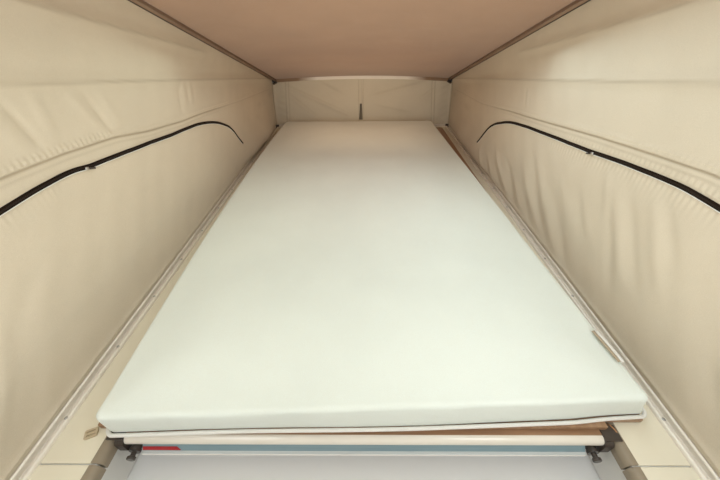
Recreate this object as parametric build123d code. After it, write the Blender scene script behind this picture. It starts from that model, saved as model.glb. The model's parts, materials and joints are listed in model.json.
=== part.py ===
from build123d import *
import math
import os

os.makedirs("parts", exist_ok=True)

# Elevating roof of a camper van with its roof bed, standing open, in millimetres.
# +Z is up, +Y runs from the high end, where people climb in, to the low hinged end.
# The origin is the middle of the unit at the bottom of the lining that drops through the van's roof.

# Widths, from the clear opening outwards; each one is measured from the piece inside it
lining_half = 560.0  # half the clear width inside the lining
lining_wall = 5.0
lining_corner = 40.0
trim_reach = 10.0  # how far the edge trim's nose stands into the opening
trim_cover = 12.0  # how much of the ledge it covers
ledge_width = 106.0
rail_width = 28.0
keder_radius = 5.0
canvas_wall = 2.0
canvas_lean = 23.0  # how far a side wall's top stands inside its foot
upper_rail_width = 39.0
deck_margin = 40.0
skirt_gap = 16.0
shell_wall = 16.0
flange_lap = 22.0
strut_out = 21.5  # from the canvas's foot out to a strut's middle
spring_in = 28.0  # from the trim's nose in to a bed spring's middle

# Lengths, from the high end to the low end; each one is measured from the last
flange_near = 80.0
end_ledge = 90.0
climb_in = 493.0  # open length between the lining and the bed
mattress_length = 2085.0
mattress_lap = 3.0  # how far the middle of the mattress stands over the board's near edge
mattress_foot_gap = 70.0  # board left free for the hinge leaves beyond the mattress
board_far_lap = 35.0
hinge_setback = 510.0
hinge_margin = 55.0
tail_overhang = 55.0
flange_far = 95.0

# Heights
lining_drop = 90.0  # from the lining's foot to the flange's top
upstand = 36.0
deck_wall = 4.0
web_wall = 6.0
flange_wall = 6.0
panel_wall = 4.0
web_corner = 90.0
rib_width = 60.0
rib_height = 9.0
rib_places = (-560.0, -190.0, 190.0, 560.0)
rib_ends = (45.0, 75.0)  # from the canvas rail and from the hinge axis to the ribs
seat_gap = 0.3  # left between pieces that only rest on each other

# Trim inside the base frame
seam_back = 66.0  # from the bed's near edge back to the butt joint across each side ledge
seam_gap = 1.5
bullnose_drop = 29.0
bullnose_rise = 1.0

# Canvas rails
rail_height = 22.0
rail_foot = 3.0
ridge_radius = 6.0
upper_lip = 3.0
upper_rail_drop = 9.0
end_rail_drop = 20.0
low_end_pull = 61.0  # how far the low end's upper rail stands inside its lower one, roof shut

# Roof, drawn shut and then swung open about the hinge axis
hinge_rise = 24.0  # from the deck to the hinge axis
open_angle = 17.27
shut_headroom = 82.0  # from the mattress to the ceiling's edge with the roof shut
crown_rise = 20.0
shell_spare = 72.0  # blank height above the crown, which the bowed top cuts off
liner_wall = 6.0
liner_stop = 115.0  # from the hinge axis back to the ceiling's end
shell_corner = 120.0
shell_draft = 20.0
shell_top_round = 38.0
tail_cut_from = 45.0  # from the hinge axis back to where the skirt's foot starts to rise
tail_cut_rise = 34.0
swage_width = 90.0
swage_depth = 6.0
swage_end = 330.0  # from each end of the roof to the swages
swage_places = (-480.0, -240.0, 0.0, 240.0, 480.0)
seal_width = 12.0
seal_height = 8.0
seal_squeeze = 2.0  # gap above the seal with the roof shut

# Roof hinges
roof_hinge_places = (-480.0, 480.0)
pin_radius = 6.0
pin_play = 0.15
ear_wall = 8.0
lug_width = 44.0
knuckle_radius = 14.0
hinge_foot = (96.0, 80.0, 5.0)

# Gas struts beside the canvas, placed back from the roof's hinge axis
strut_base_back = 1230.0
strut_base_rise = 30.0
strut_tip_back = 1960.0
strut_tip_drop = 119.0
strut_tube_radius = 11.0
strut_rod_radius = 5.0
strut_pin = 5.0
strut_tube_length = 500.0
strut_eye_wall = 11.0
strut_overlap = 200.0  # rod inside the tube at rest

# Bed
board_lap = 52.0  # how far the board reaches past the opening on each side, before its shift
board_shift = 18.0
board_wall = 12.0
board_corners = (4.0, 24.0)  # at the near and the far edge
board_notch = (88.0, 15.0)  # cut from the right near corner, beside the beam's bracket
pad_height = 5.0
pad_radius = 7.0
pad_inset = (8.0, 30.0)  # from the board's left and right edges to the pads
pad_backs = (82.0, 782.0, 1482.0)  # from the board's near edge to the pads
bed_hinge_out = 22.0
bed_hinge_rise = 22.0
bed_pin = 4.0
bed_hinge_places = (-420.0, 420.0)
mattress_insets = (32.0, 6.0)  # near corners, from the board's left and right edges
mattress_taper = (22.0, 96.0)  # how far the left side moves out and the right side in, near to far
mattress_bow = 30.0  # how far the left side bends out
mattress_skew = 42.0  # how far the near edge's left corner stands before its right one
mattress_height = 80.0
mattress_corners = (20.0, 48.0)  # at the near and the far edge
mattress_round = 13.0
slot_length = 190.0
slot_width = 24.0
slot_columns = 4
slot_rows = 11
slot_step_x = 250.0
slot_step_y = 170.0
bearer_in = 80.0  # from the trim's nose in to a bearer's middle
bearer_width = 30.0
bearer_height = 20.0
bearer_wall = 2.5
cross_backs = (382.0, 932.0, 1482.0)  # from the board's near edge to the cross bars

# Beam across the bed's near edge
beam_side_gap = 20.0
beam_depth = 34.0
beam_height = 50.0
beam_reach = 7.5  # from the board's near edge out to the beam's middle
beam_gap = 3.3
beam_round = 13.0
beam_groove = 8.0
beam_lean = 4.0  # how far the groove's foot leans out past the nose
beam_lip = (10.0, 8.0)  # how far the lip stands out past the nose, and its height
beam_lip_end = 30.0  # how far the lip stops short of the beam's end
bracket_lap = 16.0
bracket_front = 5.5  # how far the bracket stands out past the beam's nose
bracket_back = 6.0
bracket_gap = 2.0  # between the bracket and the edge trim's nose
bracket_round = 12.0
knob_in = 35.0  # from the trim's nose in to the knob's axis
knob_drop = 39.0  # from the beam's top to the knob's axis
knob_steps = ((11.0, 9.5), (12.5, 6.0), (5.5, 9.0), (9.5, 7.0))  # radius and length, from the beam out
hook_inset = 70.0  # from the left rail in to the ledge hook
hook_size = (26.0, 20.0, 4.5)
hook_turn = 24.0
hook_slot = 3.0

# Gas springs under the bed, placed back from the bed's hinge axis
spring_base_back = 412.0
spring_base_drop = 64.0
spring_tip_back = 762.0
spring_tip_drop = 23.3
spring_tube_radius = 9.0
spring_rod_radius = 4.0
spring_pin = 4.0
spring_tube_length = 210.0
spring_overlap = 150.0

# Latches that pull the shut roof down
latch_length = 105.0
latch_width = 18.0
latch_pin = 4.0
latch_foot = 34.0
latch_lift = 17.0
latch_hook = 12.0
front_latch_x = 330.0
front_latch_back = 45.0  # from the near rail in
side_latch_in = 54.0  # from the side rail in
side_latch_back = 230.0  # from the lining's near wall in

# What follows from the widths
nose_half = lining_half - trim_reach
panel_edge = lining_half + trim_cover
rail_in = panel_edge + ledge_width
rail_out = rail_in + rail_width
canvas_x = rail_out - keder_radius
upper_rail_out = canvas_x - canvas_lean + upper_lip
upper_rail_in = upper_rail_out - upper_rail_width
web_half = rail_out + deck_margin
shell_half = web_half + skirt_gap + shell_wall
flange_half = shell_half + flange_lap
strut_x = canvas_x + strut_out
spring_x = nose_half - spring_in
board_half = lining_half + board_lap
beam_half = nose_half - beam_side_gap

# What follows from the lengths
board_length = mattress_length - mattress_lap + mattress_foot_gap
opening_length = climb_in + board_length - board_far_lap
unit_length = (
    flange_near
    + 2 * (deck_margin + rail_width + end_ledge + trim_cover)
    + opening_length
    + hinge_setback
    + hinge_margin
    + flange_far
    - deck_margin
)
web_near = -unit_length / 2 + flange_near
near_out = web_near + deck_margin
rail_near = near_out + rail_width
lining_near = rail_near + end_ledge + trim_cover
board_near = lining_near + climb_in
board_far = board_near + board_length
lining_far = board_far - board_far_lap
rail_far = lining_far + trim_cover + end_ledge
far_out = rail_far + rail_width
hinge_y = far_out + hinge_setback
web_far = hinge_y + hinge_margin
shell_near = web_near - skirt_gap - shell_wall
shell_far = web_far + tail_overhang
panel_seam = board_near - seam_back
bed_hinge_y = board_far + bed_hinge_out
beam_y = board_near - beam_reach
beam_front = beam_y - beam_depth / 2
deck_middle = (web_near + web_far) / 2
deck_length = web_far - web_near
lining_middle = (lining_near + lining_far) / 2
lining_length = lining_far - lining_near

# What follows from the heights
flange_top = lining_drop
deck_top = flange_top + upstand
ledge_top = deck_top + panel_wall
canvas_foot = deck_top + rail_height + seat_gap
hinge_z = deck_top + hinge_rise
board_bottom = ledge_top + pad_height + seat_gap
board_top = board_bottom + board_wall
ceiling_shut = board_top + mattress_height + shut_headroom
shell_bottom = flange_top + seal_height + seal_squeeze
shell_high = ceiling_shut + crown_rise + shell_spare
bed_hinge_z = ledge_top + bed_hinge_rise
beam_top = board_bottom - beam_gap
crown_radius = (upper_rail_in**2 + crown_rise**2) / (2 * crown_rise)
strut_base = (hinge_y - strut_base_back, deck_top + strut_base_rise)
strut_tip_shut = (hinge_y - strut_tip_back, ceiling_shut - strut_tip_drop)
spring_base = (bed_hinge_y - spring_base_back, deck_top - spring_base_drop)
spring_tip = (bed_hinge_y - spring_tip_back, board_bottom - spring_tip_drop)


def slab(width, length, corner, low, high, middle_y=0.0, middle_x=0.0):
    """Upright block with a rounded-rectangle plan."""
    plan = Pos(middle_x, middle_y, low) * RectangleRounded(width, length, corner)
    return extrude(plan, high - low)


def block(low, high):
    """Box between two corners."""
    size = [b - a for a, b in zip(low, high)]
    middle = [(a + b) / 2 for a, b in zip(low, high)]
    return Pos(*middle) * Box(*size)


def along_x(radius, x_low, x_high, y, z):
    """Round bar along X."""
    bar = Cylinder(radius, x_high - x_low)
    return Pos((x_low + x_high) / 2, y, z) * Rot(0, 90, 0) * bar


def upright(radius, x, y, z_low, z_high):
    """Round bar along Z."""
    return Pos(x, y, (z_low + z_high) / 2) * Cylinder(radius, z_high - z_low)


def profile_x(points, x_low, x_high):
    """Outline of (y, z) points, drawn out along X."""
    face = make_face(Polyline(*[(x_low, y, z) for y, z in points], close=True))
    return extrude(face, x_high - x_low, dir=(1, 0, 0))


def profile_y(points, y_low, y_high):
    """Outline of (x, z) points, drawn out along Y."""
    face = make_face(Polyline(*[(x, y_low, z) for x, z in points], close=True))
    return extrude(face, y_high - y_low, dir=(0, 1, 0))


def mirrored(shape):
    """The same piece on the other side."""
    return mirror(shape, about=Plane.YZ)


def swing_open(shape):
    """Turns a piece drawn on the shut roof to where it stands with the roof open."""
    return shape.rotate(Axis((0, hinge_y, hinge_z), (1, 0, 0)), -open_angle)


def opened(y, z):
    """Where a (y, z) point of the shut roof stands with the roof open."""
    turn = math.radians(open_angle)
    across, up = y - hinge_y, z - hinge_z
    return (
        hinge_y + across * math.cos(turn) + up * math.sin(turn),
        hinge_z - across * math.sin(turn) + up * math.cos(turn),
    )


def save(name, shape):
    """Writes one node."""
    solids = [s for s in shape.solids()]
    whole = solids[0] if len(solids) == 1 else Compound(children=solids)
    export_step(whole, f"parts/{name}.step")


def ring(width, length, corner, wall, low, high, middle_y):
    """Upright wall of even thickness round a rounded-rectangle plan, measured outside."""
    outer = slab(width, length, corner, low, high, middle_y)
    inner = slab(width - 2 * wall, length - 2 * wall, corner - wall, low - 1, high + 1, middle_y)
    return outer - inner


# Base frame: a bonding flange with its upright web, the deck on top, and the lining that drops inside
def base_flange():
    low = flange_top - flange_wall
    web = ring(2 * web_half, deck_length, web_corner, web_wall, low, deck_top - deck_wall, deck_middle)
    plate = slab(2 * flange_half, unit_length, web_corner + flange_half - web_half, low, flange_top)
    width, length = 2 * (web_half - web_wall), deck_length - 2 * web_wall
    hole = slab(width, length, web_corner - web_wall, low - 1, flange_top + 1, deck_middle)
    return web + (plate - hole)


def base_deck():
    deck = slab(2 * web_half, deck_length, web_corner, deck_top - deck_wall, deck_top, deck_middle)
    opening = slab(2 * lining_half, lining_length, lining_corner, 0, deck_top + 1, lining_middle)
    low, high = far_out + rib_ends[0], hinge_y - rib_ends[1]
    for x in rib_places:
        corner = rib_width * 0.4
        deck += slab(rib_width, high - low, corner, deck_top, deck_top + rib_height, (low + high) / 2, x)
    return deck - opening


def base_lining():
    width, length = 2 * (lining_half + lining_wall), lining_length + 2 * lining_wall
    corner = lining_corner + lining_wall
    return ring(width, length, corner, lining_wall, 0, deck_top - deck_wall, lining_middle)


# Ledge panels: thin beige sheets on the deck, split at the seam on each side
def side_panels():
    long_piece = block((panel_edge, panel_seam + seam_gap, deck_top), (rail_in, rail_far, ledge_top))
    front_piece = block((panel_edge, rail_near, deck_top), (rail_in, panel_seam - seam_gap, ledge_top))
    return long_piece + front_piece


def end_panels():
    inner = panel_edge - seam_gap
    far_edge = lining_far + trim_cover
    near_edge = lining_near - trim_cover
    far_piece = block((-inner, far_edge, deck_top), (inner, rail_far, ledge_top))
    near_piece = block((-inner, rail_near, deck_top), (inner, near_edge, ledge_top))
    return far_piece + near_piece


# Edge trim: a bullnose that caps the lining and the panel's edge
def bullnose_section(edge, nose):
    """Face in (across, z), from the panel's edge round the nose and down the lining."""
    edge -= seat_gap
    back = nose + trim_reach - seat_gap
    bend = edge - nose
    top = ledge_top + bullnose_rise
    low = ledge_top - bullnose_drop
    outline = Polyline((edge, deck_top), (edge, top), (nose + bend * 0.75, top))
    outline += ThreePointArc(
        (nose + bend * 0.75, top),
        (nose + bend * 0.22, top - bend * 0.22),
        (nose, top - bend * 0.75),
    )
    outline += Polyline(
        (nose, top - bend * 0.75), (nose, low), (back, low), (back, deck_top), (edge, deck_top)
    )
    return make_face(outline)


def side_trim():
    section = bullnose_section(panel_edge, nose_half)
    low, high = lining_near + lining_corner, lining_far - lining_corner
    pieces = []
    for start, end in ((low, panel_seam - seam_gap), (panel_seam + seam_gap, high)):
        face = Plane((0, end, 0), x_dir=(1, 0, 0), z_dir=(0, -1, 0)) * section
        pieces.append(extrude(face, end - start, dir=(0, -1, 0)))
    return pieces[0] + pieces[1]


def end_trim():
    half = lining_half - lining_corner
    section = bullnose_section(trim_cover, -trim_reach)
    far_face = Plane((-half, lining_far, 0), x_dir=(0, 1, 0), z_dir=(1, 0, 0)) * section
    near_face = Plane((half, lining_near, 0), x_dir=(0, -1, 0), z_dir=(-1, 0, 0)) * section
    far_piece = extrude(far_face, 2 * half, dir=(1, 0, 0))
    near_piece = extrude(near_face, 2 * half, dir=(-1, 0, 0))
    return far_piece + near_piece


# Lower canvas rail: foot, inner ridge, groove and the outer keder channel
def rail_section():
    """Face in (across, up): across runs outwards from the inner face."""
    middle = rail_width - keder_radius
    foot = Pos(rail_width / 2, rail_foot / 2) * Rectangle(rail_width, rail_foot)
    ridge = Pos(ridge_radius, rail_foot + 4) * Circle(ridge_radius)
    ridge += Pos(ridge_radius, rail_foot) * Rectangle(2 * ridge_radius, 8)
    neck = Pos(middle, rail_height / 2 - 1) * Rectangle(4, rail_height - keder_radius)
    channel = Pos(middle, rail_height - keder_radius) * Circle(keder_radius)
    slot = Pos(middle, rail_height - keder_radius + 4) * Rectangle(canvas_wall + 2 * seat_gap, 12)
    below = Pos(rail_width / 2, -10) * Rectangle(2 * rail_width, 20)
    return foot + ridge + neck + channel - slot - below


def lower_side_rail():
    face = Plane((rail_in, far_out, deck_top), x_dir=(1, 0, 0), z_dir=(0, -1, 0)) * rail_section()
    return extrude(face, far_out - near_out, dir=(0, -1, 0))


def lower_end_rails():
    half = rail_in - 1.0
    far_face = Plane((-half, rail_far, deck_top), x_dir=(0, 1, 0), z_dir=(1, 0, 0)) * rail_section()
    near_face = Plane((half, rail_near, deck_top), x_dir=(0, -1, 0), z_dir=(-1, 0, 0)) * rail_section()
    return extrude(far_face, 2 * half, dir=(1, 0, 0)) + extrude(near_face, 2 * half, dir=(-1, 0, 0))


# Rubber seal on the flange, under the skirt of the shut roof
def frame_seal():
    inset = 2.0
    width, length = 2 * (shell_half - inset), shell_far - shell_near - 2 * inset
    low, high = flange_top, flange_top + seal_height
    return ring(width, length, shell_corner - inset, seal_width, low, high, (shell_near + shell_far) / 2)


# Crown of the ceiling and the roof: a long shallow cylinder
def crown_slab(rise, half, near, far, wall):
    """Bowed plate whose underside is rise above the ceiling's own crown."""
    top_of_crown = ceiling_shut + crown_rise + rise
    middle_z = top_of_crown - crown_radius
    face = Pos(0, middle_z) * (Circle(crown_radius + wall) - Circle(crown_radius))
    face = face & (Pos(0, top_of_crown) * Rectangle(2 * half, crown_radius / 4))
    face = Plane((0, far, 0), x_dir=(1, 0, 0), z_dir=(0, -1, 0)) * face
    return extrude(face, far - near, dir=(0, -1, 0))


def under_crown(rise, half, near, far, floor):
    """Block with a bowed top, which is rise above the ceiling's crown."""
    top_of_crown = ceiling_shut + crown_rise + rise
    face = Pos(0, top_of_crown - crown_radius) * Circle(crown_radius)
    top = top_of_crown + 1
    face = face & (Pos(0, (floor + top) / 2) * Rectangle(2 * half, top - floor))
    face = Plane((0, far, 0), x_dir=(1, 0, 0), z_dir=(0, -1, 0)) * face
    return extrude(face, far - near, dir=(0, -1, 0))


def tapered(half, near, far, corner, draft, low, high):
    """Block whose rounded-rectangle plan shrinks by draft on every side from low to high."""
    middle = (near + far) / 2
    foot = Pos(0, middle, low) * RectangleRounded(2 * half, far - near, corner)
    head = Pos(0, middle, high) * RectangleRounded(2 * (half - draft), far - near - 2 * draft, corner)
    return loft([foot, head])


def shell_outside():
    """Skirted box with a bowed top, its upper edge rounded and shallow swages pressed into it."""
    body = tapered(shell_half, shell_near, shell_far, shell_corner, shell_draft, shell_bottom, shell_high)
    crown = liner_wall + shell_wall
    body = body & under_crown(crown, 2 * shell_half, 2 * shell_near, 2 * shell_far, 0)
    rim = body.faces().sort_by(Axis.Z)[-1].edges()
    body = fillet(rim, shell_top_round)
    near, far = shell_near + swage_end, shell_far - swage_end
    press = crown_slab(crown - swage_depth, shell_half, near - swage_width, far + swage_width, shell_wall)
    for x in swage_places:
        length = far - near
        swage = slab(swage_width, length, swage_width * 0.45, 0, shell_high + 50, (near + far) / 2, x)
        body -= press & swage
    return body


def shell_inside():
    body = tapered(
        shell_half - shell_wall,
        shell_near + shell_wall,
        shell_far - shell_wall,
        shell_corner - shell_wall,
        shell_draft,
        shell_bottom,
        shell_high,
    )
    return body & under_crown(liner_wall + seat_gap, 2 * shell_half, 2 * shell_near, 2 * shell_far, 0)


def roof_shell(inside):
    tail = profile_x(
        [
            (hinge_y - tail_cut_from, shell_bottom - 1),
            (shell_far + 1, shell_bottom + tail_cut_rise),
            (shell_far + 1, shell_bottom - 1),
        ],
        -shell_half - 1,
        shell_half + 1,
    )
    return shell_outside() - inside - tail


def headliner():
    return crown_slab(0, upper_rail_in - 0.5, near_out, hinge_y - liner_stop, liner_wall)


# Upper canvas rails on the roof
def upper_side_rail():
    low = ceiling_shut - upper_rail_drop
    high = ceiling_shut + 0.9
    strip = block((upper_rail_in, near_out, low), (upper_rail_out, far_out, high))
    return strip + along_y_bar(upper_lip, upper_rail_out - upper_lip, near_out, far_out, low + 1)


def along_y_bar(radius, x, y_low, y_high, z):
    bar = Cylinder(radius, y_high - y_low)
    return Pos(x, (y_low + y_high) / 2, z) * Rot(90, 0, 0) * bar


def upper_end_rail(y_low, y_high):
    """Bowed strip under the ceiling's end."""
    return crown_slab(-end_rail_drop, upper_rail_in - 1.0, y_low, y_high, end_rail_drop - seat_gap)


# Canvas walls, as thin sheets between the rails
def canvas_side():
    """Ruled sheet between the lower side rail and the upper one."""
    corner_gap = keder_radius + 6
    near, far = near_out + corner_gap, far_out - corner_gap
    strip = Rectangle(canvas_wall, far - near)
    foot = Pos(canvas_x, (near + far) / 2, canvas_foot) * strip
    top = ceiling_shut - upper_rail_drop + 1 - upper_lip - seat_gap
    top_far = far - low_end_pull
    strip = Rectangle(canvas_wall, top_far - near)
    head = swing_open(Pos(upper_rail_out - upper_lip, (near + top_far) / 2, top) * strip)
    return loft([foot, head], ruled=True)


def canvas_end(y_foot, y_head):
    """End wall from the lower end rail up to the bowed upper one, which trims its top."""
    half = canvas_x - 8
    top_half = upper_rail_in - 3
    foot = Vector(0, y_foot, canvas_foot)
    head = Vector(0, *opened(y_head, ceiling_shut))
    rise = (head - foot).length
    up = (head - foot).normalized()
    plane = Plane(origin=foot, x_dir=(1, 0, 0), z_dir=Vector(1, 0, 0).cross(up))
    over = 1 + 60 / rise
    spread = half + (top_half - half) * over
    outline = Polyline((-half, 0), (half, 0), (spread, rise * over), (-spread, rise * over), close=True)
    sheet = extrude(plane * make_face(outline), canvas_wall / 2, both=True)
    rise, low = -end_rail_drop - seat_gap, -unit_length / 2
    return sheet & swing_open(under_crown(rise, 2 * shell_half, 2 * shell_near, 2 * shell_far, low))


# Roof hinges: ears on the deck, and a lug on the roof that holds the pin
def roof_hinge_base():
    pieces = []
    for x in roof_hinge_places:
        across, along, thick = hinge_foot
        low, high = (x - across / 2, hinge_y - along / 2), (x + across / 2, hinge_y + along / 2)
        foot = block((*low, deck_top), (*high, deck_top + thick))
        for side in (x - lug_width / 2 - 1 - ear_wall, x + lug_width / 2 + 1):
            root, tip = 4 - hinge_rise, knuckle_radius - 2
            ear = [(-30, root), (30, root), (tip, 4), (-tip, 4)]
            foot += profile_x([(hinge_y + y, hinge_z + z) for y, z in ear], side, side + ear_wall)
            foot += along_x(knuckle_radius, side, side + ear_wall, hinge_y, hinge_z)
        pieces.append(foot - along_x(pin_radius + pin_play, low[0], high[0], hinge_y, hinge_z))
    return pieces[0] + pieces[1]


def roof_hinge_lugs(inside):
    """Arms from the pins up to the roof's skin."""
    reach = shell_high - hinge_z
    arm = [(-12, 0), (12, 0), (30, 110), (60, reach), (-100, reach), (-60, 110)]
    pieces = []
    for x in roof_hinge_places:
        low, high = x - lug_width / 2, x + lug_width / 2
        lug = profile_x([(hinge_y + y, hinge_z + z) for y, z in arm], low, high)
        lug += along_x(knuckle_radius, low, high, hinge_y, hinge_z)
        lug = (lug & inside) + along_x(pin_radius, low - 14, high + 14, hinge_y, hinge_z)
        pieces.append(lug)
    return pieces[0] + pieces[1]


# Gas strut: tube with an eye, and a rod with an eye, between two (y, z) points
def strut_plane(x, base, tip):
    direction = Vector(0, tip[0] - base[0], tip[1] - base[1])
    return Plane(origin=(x, *base), x_dir=(1, 0, 0), z_dir=direction), direction.length


def strut_tube(x, base, tip, tube, rod, length, pin):
    plane, _ = strut_plane(x, base, tip)
    body = Pos(0, 0, 16 + length / 2) * Cylinder(tube, length)
    body -= Pos(0, 0, 24 + length / 2) * Cylinder(tube - 1.6, length - 8)
    gland = Pos(0, 0, 16 + length - 6) * (Cylinder(tube - 1.6, 12) - Cylinder(rod + 0.2, 12))
    eye = Rot(0, 90, 0) * Cylinder(pin + 5, strut_eye_wall)
    neck = Pos(0, 0, 11) * Box(strut_eye_wall, 8, 14)
    hole = Rot(0, 90, 0) * Cylinder(pin + pin_play, strut_eye_wall + 2)
    return plane * (body + gland + eye + neck - hole)


def strut_rod(x, base, tip, tube, rod, length, pin, inside_length):
    plane, whole = strut_plane(x, base, tip)
    start = 16 + length - inside_length
    bar = Pos(0, 0, (start + whole - 6) / 2) * Cylinder(rod, whole - 6 - start)
    piston = Pos(0, 0, start + 5) * Cylinder(tube - 2.2, 10)
    eye = Pos(0, 0, whole) * Rot(0, 90, 0) * Cylinder(pin + 5, strut_eye_wall)
    hole = Pos(0, 0, whole) * Rot(0, 90, 0) * Cylinder(pin + 0.3, strut_eye_wall + 2)
    return plane * (bar + piston + eye - hole)


# Brackets on the deck for the roof's struts, each with the pin of the tube's eye
def strut_deck_bracket():
    y, z = strut_base
    low = strut_x + strut_eye_wall / 2 + 0.5
    plate = [(y - 12, deck_top), (y + 30, deck_top), (y + 9, z + 9), (y - 9, z + 9)]
    pin = along_x(strut_pin, strut_x - strut_eye_wall / 2 - 1.5, low + 6, y, z)
    return profile_x(plate, low, low + 6) + pin


def strut_roof_bracket(inside):
    """Plate that hangs from the shell beside the rod's eye."""
    y, z = strut_tip_shut
    low = strut_x + strut_eye_wall / 2 + seat_gap
    plate = [(y - 40, shell_high), (y + 40, shell_high), (y + 11, z - 8), (y - 11, z - 8)]
    return profile_x(plate, low, low + 6) & inside


# Bed board with ventilation slots
def bed_board():
    middle = (board_near + board_far) / 2
    near_corner, far_corner = board_corners
    board = slab(2 * board_half, board_length, far_corner, board_bottom, board_top, middle, board_shift)
    left, right = board_shift - board_half, board_shift + board_half
    square = block((left, board_near, board_bottom), (right, board_near + 2 * far_corner, board_top))
    board += fillet(square.edges().filter_by(Axis.Z), near_corner)
    across, back = board_notch
    notch_low = (right - across, board_near - 1, board_bottom - 1)
    board -= block(notch_low, (right + 1, board_near + back, board_top + 1))
    for column in range(slot_columns):
        for row in range(slot_rows):
            x = board_shift + (column - (slot_columns - 1) / 2) * slot_step_x
            y = middle + (row - (slot_rows - 1) / 2) * slot_step_y
            board -= slab(slot_length, slot_width, slot_width * 0.49, board_bottom - 1, board_top + 1, y, x)
    return board


def mattress():
    """Foam slab, narrower at the foot, its left side bowed and its near edge askew."""
    left = board_shift - board_half + mattress_insets[0]
    right = board_shift + board_half - mattress_insets[1]
    near = board_near - mattress_lap
    far = near + mattress_length
    near_left, near_right = (left, near - mattress_skew / 2), (right, near + mattress_skew / 2)
    far_left, far_right = (left - mattress_taper[0], far), (right - mattress_taper[1], far)
    belly = ((near_left[0] + far_left[0]) / 2 - mattress_bow, (near + far) / 2)
    plan = ThreePointArc(near_left, belly, far_left)
    plan += Polyline(far_left, far_right, near_right, near_left)
    body = extrude(Pos(0, 0, board_top) * make_face(plan), mattress_height)
    corners = body.edges().filter_by(Axis.Z).sort_by(Axis.Y)
    body = fillet(corners[:2], mattress_corners[0])
    corners = body.edges().filter_by(Axis.Z).sort_by(Axis.Y)
    body = fillet(corners[-2:], mattress_corners[1])
    return fillet(body.edges().filter_by(Plane.XY), mattress_round)


def bed_bearers():
    pieces = []
    for x in (-nose_half + bearer_in, nose_half - bearer_in):
        low = (x - bearer_width / 2, beam_y + beam_depth / 2 + 4, board_bottom - bearer_height)
        high = (x + bearer_width / 2, lining_far - 40, board_bottom)
        pieces.append(block(low, high) - inner_bore(low, high, 1))
    return pieces[0] + pieces[1]


def inner_bore(low, high, axis):
    """The hollow of a box tube that runs along one axis."""
    a = [v + (0 if i == axis else bearer_wall) for i, v in enumerate(low)]
    b = [v - (0 if i == axis else bearer_wall) for i, v in enumerate(high)]
    a[axis] -= 1
    b[axis] += 1
    return block(a, b)


def bed_cross_bars():
    reach = nose_half - bearer_in - bearer_width / 2 - 0.2
    bars = []
    for back in cross_backs:
        y = board_near + back
        low = (-reach, y - bearer_width / 2, board_bottom - bearer_height)
        high = (reach, y + bearer_width / 2, board_bottom)
        bars.append(block(low, high) - inner_bore(low, high, 0))
    return bars[0] + bars[1:]


# Beam extrusion: round nose on top, a groove whose back leans out, and a lip below
def bed_beam():
    front, back = beam_front, beam_y + beam_depth / 2
    low, nose = beam_top - beam_height, beam_top - 2 * beam_round
    lip, top = low + beam_lip[1], beam_top - beam_round
    under, out = front + beam_round * 0.4, front - beam_lip[0]
    edge = Polyline((back, low), (back, beam_top), (front + beam_round, beam_top))
    edge += ThreePointArc(
        (front + beam_round, beam_top),
        (front + beam_round * 0.29, top + beam_round * 0.71),
        (front, top),
    )
    edge += ThreePointArc((front, top), (front + 1, top - beam_round * 0.5), (under, nose))
    edge += Polyline((under, nose), (front + beam_groove, nose), (front - beam_lean, lip))
    edge += Polyline((front - beam_lean, lip), (out, lip), (out, low), (back, low))
    face = Plane((-beam_half, 0, 0), x_dir=(0, 1, 0), z_dir=(1, 0, 0)) * make_face(edge)
    beam = extrude(face, 2 * beam_half, dir=(1, 0, 0))
    seat = block(
        (beam_half - beam_lip_end, out - 1, low - 1),
        (beam_half + 1, front + beam_groove, nose),
    )
    return beam - seat - mirrored(seat)


def beam_bracket():
    """Moulded end block between the beam and the ledge, with an ear that rests on the edge trim."""
    front, back = beam_front - bracket_front, beam_y + beam_depth / 2 + bracket_back
    ear_foot = ledge_top + bullnose_rise + seat_gap
    low = (beam_half, front, beam_top - beam_height + bracket_gap)
    trunk = block(low, (nose_half - bracket_gap, back, ear_foot))
    trunk = fillet(trunk.edges().filter_by(Axis.X), bracket_round)
    ear_end = (nose_half + bracket_lap, back - 6, board_bottom - seat_gap)
    ear = block((beam_half, front + 8, ear_foot - 4), ear_end)
    ear -= block((nose_half - bracket_gap, front, 0), (panel_edge, back, ear_foot))
    return trunk + ear


def beam_knob():
    """Pull knob that points out of the beam's end: a boss, a collar, a stem and a cap."""
    x, y, z = nose_half - knob_in, beam_front + beam_groove, beam_top - knob_drop
    knob = []
    for radius, length in knob_steps:
        knob.append(along_y_bar(radius, x, y - length, y, z))
        y -= length
    cap = fillet(knob[-1].edges(), 2)
    return knob[0] + knob[1] + knob[2] + cap


def bed_hinge_base():
    pieces = []
    y, z = bed_hinge_y, bed_hinge_z
    for x in bed_hinge_places:
        foot = block((x - 34, y - 14, ledge_top), (x + 34, y + 30, ledge_top + 3))
        for low in (x - 34, x + 28):
            foot += block((low, y - 9, ledge_top + 2), (low + 6, y + 12, z))
            foot += along_x(9, low, low + 6, y, z)
        pieces.append(foot - along_x(bed_pin + pin_play, x - 40, x + 40, y, z))
    return pieces[0] + pieces[1]


def bed_hinge_leaf():
    pieces = []
    y, z = bed_hinge_y, bed_hinge_z
    for x in bed_hinge_places:
        leaf = block((x - 26, board_far - 60, board_top), (x + 26, y, board_top + 3))
        leaf += along_x(8, x - 26, x + 26, y, z)
        leaf += along_x(bed_pin, x - 36, x + 36, y, z)
        pieces.append(leaf)
    return pieces[0] + pieces[1]


def bed_pads():
    """Rubber pads on the side ledges that carry the board."""
    pads = []
    for back in pad_backs:
        for x in (board_shift - board_half + pad_inset[0], board_shift + board_half - pad_inset[1]):
            pads.append(upright(pad_radius, x, board_near + back, ledge_top, ledge_top + pad_height))
    return pads[0] + pads[1:]


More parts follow.
